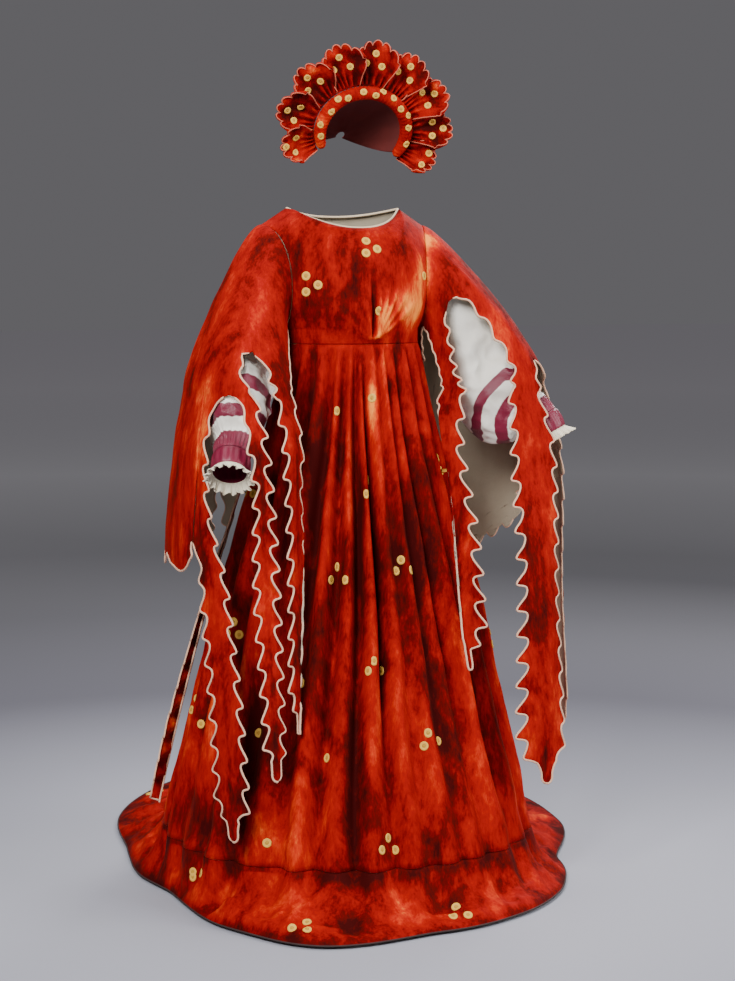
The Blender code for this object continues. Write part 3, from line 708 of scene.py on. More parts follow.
def foldDepth(bearing, height):
    # how far the gathered folds stand out, and how deep their valleys lie
    level = height / bodice["waistHeight"]
    loose = ease(1.22 - height, 0.0, 0.35)
    bearing += 2.6 * loose * waver(bearing * 0.035, height * 2.4, 7.0)
    out = 0.0
    for atWaist, atFloor, half, share in skirt["folds"]:
        away = abs(wrapped(bearing - between(atFloor, atWaist, level))) / half
        if away < 1:
            out += share * (0.5 * (1 + cos(pi * away))) ** 0.8
    crest = skirt["depth"](height) * (out - 0.5)
    valley = 0.0
    opened = 1 - ease(height, 1.06, 1.222)
    for atWaist, atFloor, half, depth in skirt["valleys"]:
        away = wrapped(bearing - between(atFloor, atWaist, level)) / (half * (0.55 + 0.45 * level))
        if abs(away) < 3:
            valley += depth * exp(-away * away)
    fade = 0.25 + 0.75 * ease(height, 0.15, 0.75)
    crimp = 0.0026 * sin(radians(bearing * 27 + 90 * sin(radians(bearing * 3))))
    crimp *= ease(height, 1.02, 1.17) * (1 - ease(height, 1.20, 1.222))
    return crest - valley * fade * (0.25 + 0.75 * opened) * (1 - ease(height, 1.19, 1.221)) + crimp


def crushed(bearing):
    # how crumpled the lower skirt lies: most at its left front in the picture, least at its right front
    front = ease(abs(wrapped(bearing + 160)), 20, 30)
    return 0.45 + 0.75 * front * (1 - ease(abs(wrapped(bearing + 85)), 30, 75))


def smoothReach(bearing, height):
    front, side, back = skirt["reach"](height)
    angle = radians(bearing)
    along = front if cos(angle) > 0 else back
    return 1 / hypot(sin(angle) / side, cos(angle) / along)


def skirtSpot(bearing, height, reach):
    angle = radians(bearing)
    return Vector((reach * sin(angle), bodice["waistCentre"] - reach * cos(angle), height))


def skirtCell(r, c):
    top, foot = bodice["waistHeight"] - 0.0005, skirt["join"] + 0.0005
    height = between(top, foot, (r / skirt["rows"]) ** 1.05)
    bearing = 360 * c / skirt["columns"] - 180
    fold = foldDepth(bearing, height)
    spot = skirtSpot(bearing, height, smoothReach(bearing, height) + fold)
    ripple = 0.0042 * wrinkle(spot, 9, 5.0) + 0.0022 * wrinkle(spot, 24, 2.0)
    ripple += 0.0008 * wrinkle(spot, 60, 1.0)
    low = 1 - ease(height, 0.12, 0.42)
    ripple += 0.0075 * (ridged(spot, 9, 6.0) - 0.5) * low * crushed(bearing)
    ripple *= ease(1.22 - height, 0.0, 0.2) * ease(height, 0.12, 0.16)
    outward = skirtSpot(bearing, height, 1) - skirtSpot(bearing, height, 0)
    # painted highlight on the fold crests and ripples, painted shade in the valleys, and the painted patches
    return spot + outward * ripple, fold * 11 + ripple * 26 + paintedPatchLight(spot, outward)


def bandCell(r, c):
    share = r / skirt["bandRows"]
    level = skirt["band"](share)
    bearing = 360 * c / skirt["columns"] - 180
    start = smoothReach(bearing, skirt["join"]) + foldDepth(bearing, skirt["join"])
    edge = skirt["hem"](bearing) - 0.003 + 0.004 * waver(bearing * 0.06, 3.3, 0)
    spot = skirtSpot(bearing, level - 0.0005 * (r == 0), between(start, edge, share))
    flat = Vector((spot.x, spot.y, 0))
    puddle = sin(pi * min(share * 1.02, 1.0)) ** 0.7
    crumple = 0.018 * ridged(flat, 7.5, 4.0) + 0.011 * ridged(flat, 16, 9.0)
    crumple += 0.004 * ridged(flat, 34, 2.0)
    crumple *= 0.7 + 0.6 * crushed(bearing)
    rise = max(crumple * puddle, 0.0045 - level) if share > 0 else 0.0
    rise *= ease(share, 0.0, 0.08)
    spot.z = max(spot.z + rise, 0.0032)
    # painted highlight on the crumples' crests, painted shade where the band lies low, and the whole band
    # painted a little darker
    lit = max(min((rise - 0.012) * 30, 0.10), -0.24) - 0.07
    outward = skirtSpot(bearing, 0, 1) - skirtSpot(bearing, 0, 0)
    return spot, lit + paintedPatchLight(spot, outward)


skirtRows, skirtPaintedLightTones = woven(range(skirt["rows"] + 1), skirt["columns"], skirtCell)
skirtPiece = sheetPiece("skirt", [skirtRows], [velvet, lining], [skirtPaintedLightTones], closed=True)
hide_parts("skirt_front", "skirt_side_left", "skirt_back", "skirt_side_right")

bandRows, bandPaintedLightTones = woven(range(skirt["bandRows"] + 1), skirt["columns"], bandCell)
hemBand = sheetPiece("hemBand", [bandRows], [velvet, lining], [bandPaintedLightTones], closed=True)
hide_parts("hem_band")
hemEdge = [p + Vector((0, 0, -0.0008)) for p in bandRows[-1]]
hemBinding = cordPiece("hemBinding", [(hemEdge, True)], 0.0018, binding, 8)
print("skirt made")


# Oversleeves

sleeve = {
    "capEnd": 1.115,
    "pitch": 0.056,
    "dag": 0.0220,
    "droop": 0.013,
    "twist": 0.034,
    "ringLength": 1.15,
    "innerBack": 0.6,
    "squareness": 0.65,
    "clearance": 0.0115,
    "broadPanel": 3,
    "capLength": 0.42,
    "capRows": 58,
    "rowStep": 0.003,
    "finger": 0.015,
    "fingerLength": 0.040,
    "shoulder": 0.050,
    "cord": 0.0023,
    # rings, down from the cap's end: height, middle in x and y, reach inward, outward, forward and back
    # slits between the panels, from the inner side: how far down, turn of the edge before and after
    # panels: columns, length at the first and at the last edge
    "left": {
        "rings": reader([(1.115, 0.305, -0.005, 0.135, 0.150, 0.155, 0.160),
                         (0.98, 0.310, -0.005, 0.200, 0.175, 0.185, 0.190),
                         (0.75, 0.312, -0.040, 0.220, 0.158, 0.210, 0.230),
                         (0.45, 0.312, -0.060, 0.240, 0.150, 0.230, 0.240),
                         (0.00, 0.320, -0.060, 0.240, 0.145, 0.250, 0.240)]),
        "slits": [
            [(0.14, 0.055, 0.055), (0.3, 0.020, 0.072), (1.0, -0.025, 0.076), (1.3, -0.050, 0.106),
             (2.1, -0.060, 0.118)],
            [(0.33, 0.222, 0.222), (0.36, 0.172, 0.262), (0.5, 0.140, 0.300), (0.75, 0.118, 0.304),
             (1.0, 0.130, 0.276), (1.3, 0.160, 0.258), (2.1, 0.182, 0.240)],
            [(0.80, 0.390, 0.390), (0.92, 0.355, 0.470), (1.05, 0.350, 0.490), (1.3, 0.350, 0.460),
             (2.1, 0.336, 0.410)],
            [(1.10, 0.560, 0.560), (1.20, 0.545, 0.580), (1.4, 0.520, 0.580), (2.1, 0.480, 0.580)],
            [(1.15, 0.800, 0.800), (1.25, 0.770, 0.830), (1.4, 0.750, 0.850), (2.1, 0.750, 0.860)],
        ],
        "panels": [(16, 1.60, 1.60), (16, 1.86, 1.86), (16, 1.75, 1.75), (44, 1.32, 1.44), (24, 1.96, 1.96)],
        "side": 1,
    },
    "right": {
        "rings": reader([(1.115, 0.290, -0.015, 0.130, 0.085, 0.190, 0.150),
                         (0.98, 0.300, -0.035, 0.165, 0.102, 0.215, 0.180),
                         (0.75, 0.300, -0.035, 0.170, 0.120, 0.225, 0.200),
                         (0.45, 0.300, -0.035, 0.150, 0.115, 0.275, 0.200),
                         (0.00, 0.300, -0.035, 0.150, 0.105, 0.300, 0.200)]),
        "slits": [
            [(0.20, 0.080, 0.080), (0.4, 0.045, 0.105), (1.0, -0.020, 0.110), (1.3, -0.050, 0.110),
             (2.1, -0.060, 0.110)],
            [(0.70, 0.285, 0.285), (0.73, 0.232, 0.325), (0.82, 0.196, 0.318), (0.95, 0.176, 0.270),
             (1.1, 0.165, 0.235), (2.1, 0.165, 0.205)],
            [(0.99, 0.345, 0.345), (1.02, 0.292, 0.398), (1.08, 0.266, 0.425), (1.2, 0.245, 0.410),
             (1.4, 0.245, 0.350), (2.1, 0.240, 0.310)],
            [(1.31, 0.445, 0.445), (1.37, 0.405, 0.452), (1.6, 0.390, 0.470), (2.1, 0.380, 0.480)],
            [(1.20, 0.810, 0.810), (1.30, 0.780, 0.840), (1.4, 0.770, 0.850), (2.1, 0.770, 0.860)],
        ],
        "panels": [(14, 1.71, 1.71), (14, 1.80, 1.80), (20, 1.93, 1.93), (44, 1.37, 1.37), (22, 1.95, 1.95)],
        "side": -1,
    },
}


def offTheBody(point, clearance):
    height = min(max(point.z, skirt["join"]), bodice["waistHeight"])
    x, y = point.x, point.y - bodice["waistCentre"]
    reach = hypot(x, y)
    crest = 0.7 * skirt["depth"](height)
    least = smoothReach(degrees(atan2(x, -y)), height) + crest + clearance
    if point.z > bodice["waistHeight"] or reach >= least:
        return point
    return Vector((x / reach * least, bodice["waistCentre"] + y / reach * least, point.z))


def bellRing(rings, turn, height):
    x, y, inner, outer, front, back = rings(height)
    angle = 2 * pi * turn
    out, sine = -cos(angle), sin(angle)
    forward = copysign(abs(sine) ** sleeve["squareness"], sine)
    below = min(max((sleeve["capEnd"] - height) / 0.2, 0.0), 1.0)
    inner *= 1 - below * (1 - sleeve["innerBack"]) * (1 - sine) / 2
    x += out * (outer if out > 0 else inner)
    return Vector((x, y - forward * (front if forward > 0 else back), height))


armMiddle = Vector((0.165, 0.015, 1.36))


def sleevePoint(bell, turn, down):
    # a point of an oversleeve, as on the +X side, with the folds that hang in it
    turn = turn % 1.0
    upward = (1 - cos(2 * pi * turn)) / 2
    rings = bell["rings"]
    if down >= 1:
        height = sleeve["capEnd"] + 1 - down
        point = bellRing(rings, turn, height)
        x, y = rings(height)[:2]
        middle = Vector((x, y, height))
    else:
        root = armhole(turn) + Vector((between(0.0005, 0.0018, upward), 0, 0))
        end = bellRing(rings, turn, sleeve["capEnd"])
        leaves = root + Vector((between(0.008, 0.045, upward), 0, 0))
        arrives = end + Vector((0, 0, between(0.030, 0.090, upward)))
        s, t = down, 1 - down
        point = root * t**3 + leaves * (3 * s * t * t) + arrives * (3 * s * s * t) + end * s**3
        x, y = rings(sleeve["capEnd"])[:2]
        middle = armMiddle.lerp(Vector((x, y, sleeve["capEnd"])), s)
    point = offTheBody(point, sleeve["clearance"] * min(1.0, 3 * down))
    outward = (point - middle).normalized()
    seed = 11.0 * bell["side"]
    fold = 0.0065 * waver(turn * 11, seed, down * 1.1) + 0.0026 * waver(turn * 30, seed + 5, down * 2.6)
    fold += 0.0012 * waver(point.x * 24, point.y * 24 + seed, point.z * 24)
    fold = max(min(fold, 0.007), -0.006) * ease(down, 0.03, 0.35)
    if bell["side"] > 0:
        fold *= 0.8
    return point + outward * fold, outward, fold


def dagShape(phase):
    # a round dag with a round notch under it, which leans a little downwards
    lean = phase - 0.06 * sin(2 * pi * phase)
    return (0.5 - 0.5 * cos(2 * pi * lean)) ** 0.85


def sleevePanel(bell, number):
    slits, side = bell["slits"], bell["side"]
    following = (number + 1) % len(slits)
    columns, firstTip, lastTip = bell["panels"][number]
    before, after = bell["read"][number], bell["read"][following]
    startFirst, startLast = slits[number][0][0], slits[following][0][0]
    lastPanel = number == len(slits) - 1
    lap = 1.0 if lastPanel else 0.0
    broad = number == sleeve["broadPanel"]
    longest = max(firstTip, lastTip)
    finger, fingerLength, ringLength = sleeve["finger"], sleeve["fingerLength"], sleeve["ringLength"]
    fingerTop = fingerLength + sleeve["shoulder"]
    dag = sleeve["dag"] / ringLength
    downs = [k / sleeve["capRows"] for k in range(sleeve["capRows"])]
    steps = int((longest - 1) / sleeve["rowStep"])
    downs += [1 + (longest - 1) * k / steps for k in range(steps + 1)]
    rows, paintedLightTones = [], []
    for down in downs:
        first, last = before(down)[1], after(down)[0] + lap
        centre = (first + last) / 2
        metres = down if down > 1 else 1 - (1 - down) * sleeve["capLength"]
        phase = ((metres - 0.2) / sleeve["pitch"]) % 1.0
        nearDag, farDag = dagShape(phase), dagShape((phase + 0.42) % 1.0)
        gone = firstTip - down
        left = 1.0 if broad else ease(gone, fingerLength, fingerLength + 0.012)
        under = 0.3 + 0.7 * ease(down, 0.8, 1.15)
        first -= dag * nearDag * ease(down, startFirst, startFirst + 0.10) * left * (1 if number else under)
        last += dag * farDag * ease(down, startLast, startLast + 0.10) * left * (under if lastPanel else 1)
        if not broad and gone < fingerTop:
            middle = (first + last) / 2
            half = finger / ringLength
            if gone < finger:
                half *= sqrt(max(1 - (1 - gone / finger) ** 2, 0.02))
            share = ease(gone, fingerLength * 0.5, fingerTop)
            first, last = between(middle - half, first, share), between(middle + half, last, share)
        whole = 0 if broad else ease(longest - down, fingerLength, fingerLength + 0.05)
        row, tone = [], []
        for c in range(columns + 1):
            across = c / columns
            hang = nearDag * (1 - across) ** 4 * ease(down, startFirst + 0.02, startFirst + 0.12)
            hang += farDag * across**4 * ease(down, startLast + 0.02, startLast + 0.12)
            level = down + sleeve["droop"] * hang * whole
            if broad and down > 1.2:
                tip = between(firstTip, lastTip, across)
                lobes = 0.030 * abs(sin(pi * 5 * across)) ** 0.8 - 0.022
                low = (down - 1.2) / (longest - 1.2)
                level = between(1.2, tip, low) + lobes * low**4
            turn = between(first, last, across)
            point, outward, fold = sleevePoint(bell, turn, level)
            curl = 0.0
            seam = 0.0
            if not broad:
                wave = sin(down * 9 + number * 2.1 + across * 2) * ease(down, 1.02, 1.2)
                curl = 0.006 * (2 * across - 1) ** 2 * wave
                aside = (turn - centre) * ringLength
                seam = -0.16 * exp(-((aside / 0.006) ** 2)) * ease(down, 1.05, 1.2)
            if lastPanel:
                curl += sleeve["twist"] * (2 * across - 1) * ease(down, 1.10, 1.45)
            point = offTheBody(point + outward * curl, sleeve["clearance"] * min(1.0, 3 * down))
            row.append(Vector((side * point.x, point.y, point.z)))
            there = Vector((side * outward.x, outward.y, 0))
            # painted highlight and painted shade from the folds and the patches, and a darker line down the
            # middle of the strip
            tone.append(fold * 34 + seam + paintedPatchLight(row[-1], there))
        rows.append(row)
        paintedLightTones.append(tone)
    r0 = next(k for k, down in enumerate(downs) if down >= startFirst)
    r1 = next(k for k, down in enumerate(downs) if down >= startLast)
    path = [row[0] for row in rows[r0:]] + rows[-1][1:-1] + [row[-1] for row in reversed(rows[r1:])]
    return rows, paintedLightTones, path


for name in ("left", "right"):
    bell = sleeve[name]
    bell["read"] = [reader(slit) for slit in bell["slits"]]
    grids, paintedLightToneGrids, paths = [], [], []
    for number in range(5):
        rows, paintedLightTones, path = sleevePanel(bell, number)
        grids.append(rows)
        paintedLightToneGrids.append(paintedLightTones)
        paths.append((path, False))
    piece = sheetPiece(f"oversleeve_{name}", grids, [velvet, lining], paintedLightToneGrids, flip=bell["side"] < 0)
    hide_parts(f"oversleeve_{name}")
    bell["piece"] = piece
    trim = cordPiece(f"sleevePiping_{name}", paths, sleeve["cord"], piping)
    print("oversleeve", name, "made")


# Undersleeves, cuffs and lace

under = {
    # down the middle: x, y, height, half width, half height
    "left": [(0.225, 0.000, 1.300, 0.062, 0.080), (0.290, -0.010, 1.190, 0.075, 0.098),
             (0.335, -0.030, 1.105, 0.085, 0.105), (0.374, -0.060, 1.065, 0.072, 0.080),
             (0.404, -0.078, 1.065, 0.048, 0.050)],
    "right": [(0.215, -0.005, 1.300, 0.058, 0.078), (0.255, -0.040, 1.200, 0.066, 0.088),
              (0.285, -0.085, 1.115, 0.070, 0.090), (0.310, -0.130, 1.055, 0.062, 0.070),
              (0.322, -0.156, 1.018, 0.046, 0.046)],
    "wristLeft": (Vector((0.426, -0.090, 1.052)), Vector((0.42, -0.25, -0.87))),
    "wristRight": (Vector((0.332, -0.180, 0.990)), Vector((0.28, -0.62, -0.73))),
    "wristRadius": 0.037,
    "cuffLength": 0.045,
    "frillLength": 0.016,
    "columns": 132,
    "rows": 110,
    "bands": (0.004, 0.022, 0.084, 0.150),
    "bandWidth": 0.030,
}


def tubeRing(point, axis, wide, tall, columns):
    across = axis.cross(Vector((0, 0, 1))).normalized()
    up = across.cross(axis).normalized()
    turns = [2 * pi * c / columns for c in range(columns)]
    return [point + across * (wide * sin(t)) - up * (tall * cos(t)) for t in turns]


def undersleeveRows(table, wrist, side):
    stations = [(k, *row) for k, row in enumerate(table)]
    stations.append((len(table), *wrist[0], under["wristRadius"] + 0.003, under["wristRadius"] + 0.003))
    read = reader(stations)
    last, columns, count = len(table), under["columns"], under["rows"]
    middle = Vector((bodice["foot"].x, 0.015, 1.345))
    root = []
    for c in range(columns):
        point = armhole(c / columns)
        inward = middle - point
        inward.x = 0
        root.append(point + inward.normalized() * 0.0097 + Vector((0.003, 0, 0)))
    rows = [root]
    places = []
    for k in range(count + 1):
        key = last * k / count
        here, ahead, behind = read(key), read(min(key + 0.05, last)), read(max(key - 0.05, 0))
        axis = (Vector(ahead[:3]) - Vector(behind[:3])).normalized()
        axis = Vector((1, 0, 0)).lerp(axis, min(1.0, 8 * k / count / 3)).normalized()
        axis = axis.lerp(wrist[1].normalized(), ease(k / count, 0.88, 1.0)).normalized()
        rows.append(tubeRing(Vector(here[:3]), axis, here[3], here[4], columns))
        places.append(Vector(here[:3]))
    lengths = [0.0]
    for a, b in zip(places, places[1:]):
        lengths.append(lengths[-1] + (b - a).length)
    whole = lengths[-1]
    toWrist = [whole] + [whole - length for length in lengths]
    bands = []
    for r, row in enumerate(rows):
        near = toWrist[r]
        centre = sum(row, Vector()) / columns
        gathers = 0.0042 * (1 - ease(near, 0.0, 0.10)) * ease(near, 0.0, 0.012)
        for c, point in enumerate(row):
            outward = (point - centre).normalized()
            turn = c / columns
            ruck = 0.5 + 0.5 * sin(2 * pi * 26 * turn + 1.5 * sin(2 * pi * 3 * turn))
            crease = 0.0075 * waver(turn * 5, near * 14, side * 4.0)
            crease += 0.0100 * ridged(point, 12, 3.0) + 0.0055 * ridged(point, 26, 8.0) - 0.007
            crease *= ease(near, 0.0, 0.05) * ease(r, 0, 30)
            row[c] = point + outward * (gathers * (ruck - 0.8) + crease - 0.002 * ease(r, 0, 30))
    reach = [0.0] * columns
    for r in reversed(range(len(rows))):
        if r < len(rows) - 1:
            reach = [reach[c] + (rows[r + 1][c] - rows[r][c]).length for c in range(columns)]
        away = [min(abs(d - band) for band in under["bands"]) for d in reach]
        bands.append([max(0.0, 1 - d / under["bandWidth"]) for d in away])
    bands.reverse()
    return [mirrored(row, side) for row in rows], bands


def wristRows(wrist, side, steps, columns, begin, length, shape):
    # a band round the wrist; shape gives how far out and how far along each of its points lies
    start, axis = wrist[0], wrist[1].normalized()
    rows = []
    for k in range(steps + 1):
        s = k / steps
        place = start + axis * (begin + length * s)
        row = []
        for c, point in enumerate(tubeRing(place, axis, 1.0, 1.0, columns)):
            out, along = shape(s, 2 * pi * c / columns)
            row.append(place + axis * along + (point - place) * (under["wristRadius"] + out))
        rows.append(mirrored(row, side))
    return rows


def cuffShape(s, turn):
    puff = 0.0012 * sin(15 * turn) * sin(pi * s)
    return 0.0005 + 0.0045 * sin(pi * s) ** 0.5 + puff, 0.0


def frillShape(s, turn):
    wave = 0.0052 * sin(16 * turn) + 0.0016 * sin(37 * turn)
    return 0.001 + 0.011 * s + s * wave, 0.0022 * s * abs(sin(24 * turn))


for name in ("left", "right"):
    side = sleeve[name]["side"]
    wrist = under["wristLeft" if side > 0 else "wristRight"]
    rows, bands = undersleeveRows(under[name], wrist, side)
    cuffRows = wristRows(wrist, side, 14, 96, 0.0005, under["cuffLength"], cuffShape)
    begin = 0.001 + under["cuffLength"]
    frillRows = wristRows(wrist, side, 8, 256, begin, under["frillLength"], frillShape)
    sewn = (("undersleeve", rows, [bands], satin, 0.0012, "satin"),
            ("cuff", cuffRows, None, crimsonSatin, 0.0013, "crimson"),
            ("frill", frillRows, None, lace, 0.0008, "lace"))
    for kind, grid, marks, cloth, wall, slot in sewn:
        piece = sheetPiece(f"{kind}_{name}", [grid], [cloth, cloth], marks, "band", wall,
                           closed=True, flip=side < 0, hidden=True)
        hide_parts(f"{kind}_{name}")
        sleeve[name][kind] = piece
    edge = cordPiece(f"frillEdge_{name}", [(frillRows[-1], True)], 0.0011, lace, 5)
    base = cordPiece(f"cuffCord_{name}", [(cuffRows[-1], True)], 0.0016, lace, 6)
print("undersleeves and cuffs made")


# Headdress

headdress = {
    "centre": Vector((0.018, -0.015, 1.682)),
    "lean": 5,
    "halfWidth": 0.099,
    "halfHeight": 0.082,
    "rollRadius": 0.0145,
    "rollRows": 150,
    "rollSides": 40,
    "forward": 0.055,
    "turn": 122,
    "petals": range(-108, 109, 27),
    "petalLength": 0.098,
    "petalHalf": 17.0,
    "twist": 0.012,
    "shares": (0.88, 1.0, 1.0, 1.0, 1.0, 1.0, 1.0, 0.95, 0.74),
    "cup": 0.018,
    "lobes": 5,
    "capDepth": 0.135,
    # how much each petal tips forward, from the -X side round to the +X side
    "tips": (0.022, 0.004, 0.010, 0.000, 0.008, 0.004, 0.016, 0.002, 0.012),
}


def headPoint(right, forward, up):
    lean = radians(headdress["lean"])
    x, z = right * cos(lean) + up * sin(lean), up * cos(lean) - right * sin(lean)
    return headdress["centre"] + Vector((x, -forward, z))


def rollPlace(turn, out=0.0, forward=0.0):
    angle = radians(turn)
    right = (headdress["halfWidth"] + out) * sin(angle)
    up = (headdress["halfHeight"] + out) * cos(angle)
    return right, headdress["forward"] * cos(angle * 0.75) + forward, up


def rollTaper(turn):
    return 1 - 0.35 * abs(turn / headdress["turn"]) ** 6


def rollCell(k, c):
    count, sides = headdress["rollRows"], headdress["rollSides"]
    turn = between(-headdress["turn"], headdress["turn"], k / count)
    here = headPoint(*rollPlace(turn))
    along = (headPoint(*rollPlace(turn + 1)) - headPoint(*rollPlace(turn - 1))).normalized()
    out = (headPoint(*rollPlace(turn, 0.01)) - here).normalized()
    out = (out - along * out.dot(along)).normalized()
    side = along.cross(out)
    end = min(k, count - k) / 4
    close = sqrt(max(1 - (1 - min(end, 1)) ** 2, 0.0))
    angle = 2 * pi * c / sides
    ruck = 0.0011 * sin(2 * pi * 46 * k / count + 1.6 * sin(angle * 2))
    ruck *= 0.5 + 0.5 * waver(k * 0.2, angle, 0.3)
    thick = (headdress["rollRadius"] * rollTaper(turn) + ruck) * close
    # painted highlight on the rucks' crests and painted shade between them
    return here + (out * cos(angle) + side * sin(angle)) * thick, ruck * 110 + 0.10


rows, paintedLightTones = woven(range(headdress["rollRows"] + 1), headdress["rollSides"], rollCell)
rollPiece = sheetPiece("headRoll", [rows], [petalVelvet], [paintedLightTones], wall=0, closed=True)
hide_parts("headdress_roll")


def petalRows(number):
    turn, tip, share = headdress["petals"][number], headdress["tips"][number], headdress["shares"][number]
    columns, count = 50, 38

    def cell(r, c):
        s = r / count
        across = 2 * c / columns - 1
        lobe = abs(sin(pi * headdress["lobes"] * (across + 1) / 2)) ** 0.55
        reach = headdress["petalLength"] * share * s * (1 - 0.30 * across**2 * s) - 0.011 * (1 - lobe) * s**3
        side = 1 - 0.06 * (1 - abs(sin(3 * pi * s)) ** 0.6) * ease(s, 0.35, 0.6)
        spread = between(0.78, 1.0, min(1, s * 1.5)) * (1 - 0.12 * ease(s, 0.75, 1.0)) * side
        spread *= headdress["petalHalf"] * across
        cup = headdress["cup"] * across**2 * sin(pi * min(s, 0.72))
        pleat = 0.0034 * sin(pi * (5 * across + 0.6 * sin(number * 2.3 + across * 3)))
        pleat *= (1 - ease(s, 0.05, 0.62)) * ease(s, 0.0, 0.06)
        crease = 0.0060 * waver(across * 2.2 + number * 5, s * 3.5, 1.0) * ease(s, 0.1, 0.4)
        rolled = -0.006 * ease(s, 0.80, 1.0) + 0.002 * lobe * s
        twist = headdress["twist"] * across * ease(s, 0.05, 0.5)
        lift = 0.020 * s * s + tip * s * s * 0.25 + cup + pleat + crease + rolled + twist
        root = headdress["rollRadius"] * rollTaper(turn + spread) + 0.0005 - 0.0009 * abs(turn / 108) ** 3
        # painted highlight and painted shade on the pleats and creases, lighter lobes, and painted shade
        # towards the root and down the middle
        tone = (pleat + crease) * 75 + 0.09 * lobe * s - 0.20 * (1 - s) - 0.10 * (1 - abs(across))
        return headPoint(*rollPlace(turn + spread, root + reach, lift - 0.006)), tone

    rows, paintedLightTones = woven(range(count + 1), columns + 1, cell)
    edge = [row[0] for row in rows] + rows[-1][1:-1] + [row[-1] for row in reversed(rows)]
    return rows, paintedLightTones, edge


petalEdges, petals = [], []
for number in range(9):
    rows, paintedLightTones, edge = petalRows(number)
    cloth = [petalVelvet, petalVelvet]
    piece = sheetPiece(f"petal_{number + 1}", [rows], cloth, [paintedLightTones], wall=0.0028, flip=True)
    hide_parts(f"petal_{number + 1}")
    petalEdges.append((edge, False))
    petals.append(piece)
petalTrim = cordPiece("petalPiping", petalEdges, 0.0012, petalCord, 6)


def capCell(r, c):
    s = 0.94 * r / 40
    deep = sin(radians(90 * s))
    turn = between(8 - headdress["turn"], headdress["turn"] - 8, c / 96)
    right, ahead, up = rollPlace(turn, 0.0, -headdress["rollRadius"] - 0.0005)
    ruck = 0.0022 * sin(radians(turn * 12)) * sin(pi * s)
    bulge = cos(radians(90 * s)) + ruck * 5
    ahead -= (headdress["capDepth"] + ahead * 0.6) * deep
    # painted highlight and painted shade on the rucks
    return headPoint(right * bulge, ahead, up * bulge), ruck * 40


rows, paintedLightTones = woven(range(41), 97, capCell)
capPiece = sheetPiece("headCap", [rows], [petalVelvet, capLining], [paintedLightTones], flip=True)
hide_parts("headdress_cap")
print("headdress made")


# Gold discs, laid on the cloth where the photograph shows them, and in the same groups elsewhere

discs = {
    "radius": 0.0100,
    "headRadius": 0.0080,
    # where they show, as pixels of the photograph
    "gown": ((306, 276), (318, 285), (306, 292), (366, 241), (377, 249), (366, 253), (379, 311), (337, 411),
             (372, 398), (368, 480), (366, 494), (337, 567), (331, 580), (345, 580), (401, 560), (396, 571),
             (411, 570), (374, 661), (368, 671), (381, 671), (428, 733), (438, 741), (424, 746), (388, 838),
             (382, 850), (395, 850), (456, 907), (453, 916), (468, 915), (307, 922), (292, 928), (307, 929),
             (193, 872), (201, 873), (193, 877), (201, 724), (302, 683), (259, 733), (327, 758), (267, 843),
             (424, 276)),
    # groups of three where the photograph does not reach: bearing and height
    "hidden": ((60, 0.95), (75, 0.55), (95, 0.85), (110, 0.40), (130, 0.70), (150, 1.00), (160, 0.45),
               (180, 0.75), (200, 0.50), (215, 0.95), (235, 0.65), (250, 0.40), (262, 0.90), (280, 0.60),
               (175, 1.10), (140, 0.25), (190, 0.25), (228, 0.28), (90, 0.24)),
    # on the roll: turn, and how far it faces outwards
    "roll": ((-104, 0.2), (-88, 0.5), (-66, -0.2), (-47, 0.5), (-36, -0.2), (-14, 0.1), (3, -0.4), (12, 0.6),
             (28, 0.3), (46, -0.2), (60, 0.4), (78, 0.0), (101, 0.3)),
    # on the bodice's back, as x and height, and on the train, as bearing and reach
    "back": ((-0.05, 1.40), (0.06, 1.33), (-0.07, 1.28)),
    "train": ((135, 0.80), (165, 0.95), (195, 0.90), (180, 0.72), (225, 0.66), (150, 0.62)),
}


def discMesh(spots, radius, reach, name):
    # spots are places and facings; every disc is bent to the cloth under it
    # profile: share of the radius, and height; then for each ring how bright its gilding is painted, with a
    # painted highlight where the ring stands highest and the groove darkest, 1 and over in full
    profile = ((0.0, 0.9), (0.30, 0.9), (0.38, 0.35), (0.46, 1.0), (0.86, 1.15), (0.97, 0.7), (1.0, -0.3))
    paintedShine = (0.4, 0.4, 0.0, 2.0, 3.6, 2.4, 0.8)
    vertices, faces, rim = [], [], []
    sides = 26
    for place, facing in spots:
        side = facing.cross(Vector((0.1, 0.2, 1))).normalized()
        up = side.cross(facing).normalized()
        base = len(vertices)
        for (share, height), light in zip(profile, paintedShine):
            for s in range(sides if share else 1):
                angle = 2 * pi * s / sides
                flat = place + (side * cos(angle) + up * sin(angle)) * radius * share
                spot, normal, _, away = clothTree.find_nearest(flat)
                if spot is None or away > reach:
                    spot, normal = flat, facing
                if normal.dot(facing) < 0:
                    normal = -normal
                vertices.append(tuple(spot + normal * (0.0006 + 0.0010 * height)))
                rim.append(light)
        for s in range(sides):
            faces.append((base, base + 1 + s, base + 1 + (s + 1) % sides))
        for ring in range(len(profile) - 2):
            a = base + 1 + ring * sides
            for s in range(sides):
                n = (s + 1) % sides
                faces.append((a + s, a + sides + s, a + sides + n, a + n))
    piece = newPiece(name, vertices, faces, [gold])
    mark(piece, "rim", rim)
    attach(piece, "root")
    return piece


allPoints, allFaces = [], []
for points, faces in surfaces:
    base = len(allPoints)
    allPoints += points
    allFaces += [tuple(base + k for k in face) for face in faces]
clothTree = BVHTree.FromPolygons(allPoints, allFaces)
print("cloth faces", len(allFaces))


def seen(origin, ahead):
    spot, normal, _, _ = clothTree.ray_cast(origin, ahead)
    if spot is None:
        return []
    return [(spot, normal if normal.dot(ahead) < 0 else -normal)]


shoulders = Vector((0, 0, shoulderHeight))
gownSpots = []
for x, y in discs["gown"]:
    gownSpots += seen(*photoRay(x, y))


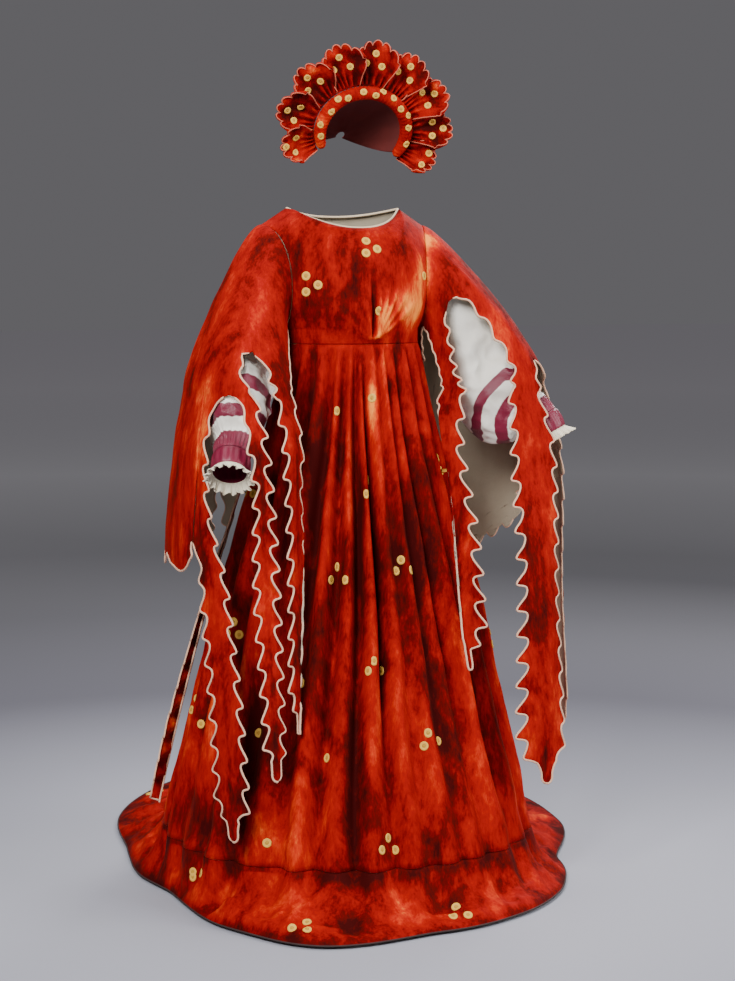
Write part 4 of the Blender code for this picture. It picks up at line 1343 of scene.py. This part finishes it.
def groupOfThree(spot, normal):
    side = normal.cross(Vector((0, 0, 1))).normalized()
    up = side.cross(normal).normalized()
    places = (up * 0.016, side * 0.015 - up * 0.011, side * -0.015 - up * 0.011)
    return [(spot + place, normal) for place in places]


for bearing, height in discs["hidden"]:
    out = (skirtSpot(bearing, height, 1) - skirtSpot(bearing, height, 0)).normalized()
    start = skirtSpot(bearing, height, smoothReach(bearing, height) + 0.021) - shoulders
    for spot, normal in seen(start, -out):
        gownSpots += groupOfThree(spot, normal)
for bearing, reach in discs["train"]:
    above = skirtSpot(bearing, 0.3, reach) - shoulders
    for spot, normal in seen(above, Vector((0, 0, -1))):
        gownSpots += groupOfThree(spot, normal)
for x, height in discs["back"]:
    for spot, normal in seen(Vector((x, 0.4, height - shoulderHeight)), Vector((0, -1, 0))):
        gownSpots += groupOfThree(spot, normal)
gownDiscs = discMesh(gownSpots, discs["radius"], 0.02, "gownDiscs")

headSpots = []
for number, turn in enumerate(headdress["petals"]):
    # three on each petal, and a scatter on the roll
    for across, s in ((0.0, 0.72), (-0.36, 0.50), (0.34, 0.46)):
        spread = headdress["petalHalf"] * across
        out = headdress["rollRadius"] + headdress["petalLength"] * s
        front = headPoint(*rollPlace(turn + spread, out, 0.09)) - shoulders
        headSpots += seen(front, Vector((0, 1, 0)))
for turn, side in discs["roll"]:
    middle = headPoint(*rollPlace(turn)) - shoulders
    out = (headPoint(*rollPlace(turn, 0.01)) - headPoint(*rollPlace(turn))).normalized()
    facing = (out * side + Vector((0, -1, 0))).normalized()
    headSpots += seen(middle + facing * 0.03, -facing)
headDiscs = discMesh(headSpots, discs["headRadius"], 0.006, "headDiscs")
print("discs made", len(gownSpots), len(headSpots))


# Floor, backdrop and studio light

def stageFloor(setup):
    # painted light: pale near the gown as a painted pool of light, painted shade beyond it, and close to the
    # tone of the background far away
    p = Paint("floor")
    away = p.node("ShaderNodeVectorMath", {"operation": "LENGTH"}, [p.place()], 1)
    colour = p.ramp(away / setup["floorReach"], setup["paintedFloorLight"])
    material = p.wear(Base_Color=colour, Roughness=0.95, Specular_IOR_Level=0.0)
    level = -shoulderHeight - 0.0006
    far = setup["floorEdge"]
    corners = [(-far, -far, level), (far, -far, level), (far, far, level), (-far, far, level)]
    piece = newPiece("floor", corners, [(0, 1, 2, 3)], [material])


stageFloor(viewSetup)

lights = {
    "key": ((-2.6, -3.2, 1.9), (0, 0, -0.4), 1.8, 345),
    "fill": ((3.4, -2.6, 1.2), (0, 0, -0.5), 2.6, 210),
    "top": ((0.4, 0.6, 3.0), (0, 0, 0), 2.4, 120),
    "rim": ((2.6, 2.4, 1.4), (0, 0, -0.3), 1.6, 110),
}
for name, (place, aim, size, power) in lights.items():
    data = bpy.data.lights.new(name, "AREA")
    data.size = size
    data.energy = power
    lamp = bpy.data.objects.new(name, data)
    lamp.location = place
    lamp.rotation_euler = (Vector(aim) - Vector(place)).to_track_quat("-Z", "Y").to_euler()
    bpy.context.scene.collection.objects.link(lamp)
world = bpy.data.worlds.new("world")
world.use_nodes = True
background = world.node_tree.nodes["Background"].inputs
background["Color"].default_value = (*viewSetup["backdrop"], 1)
background["Strength"].default_value = 1.0
bpy.context.scene.world = world
print("light set")
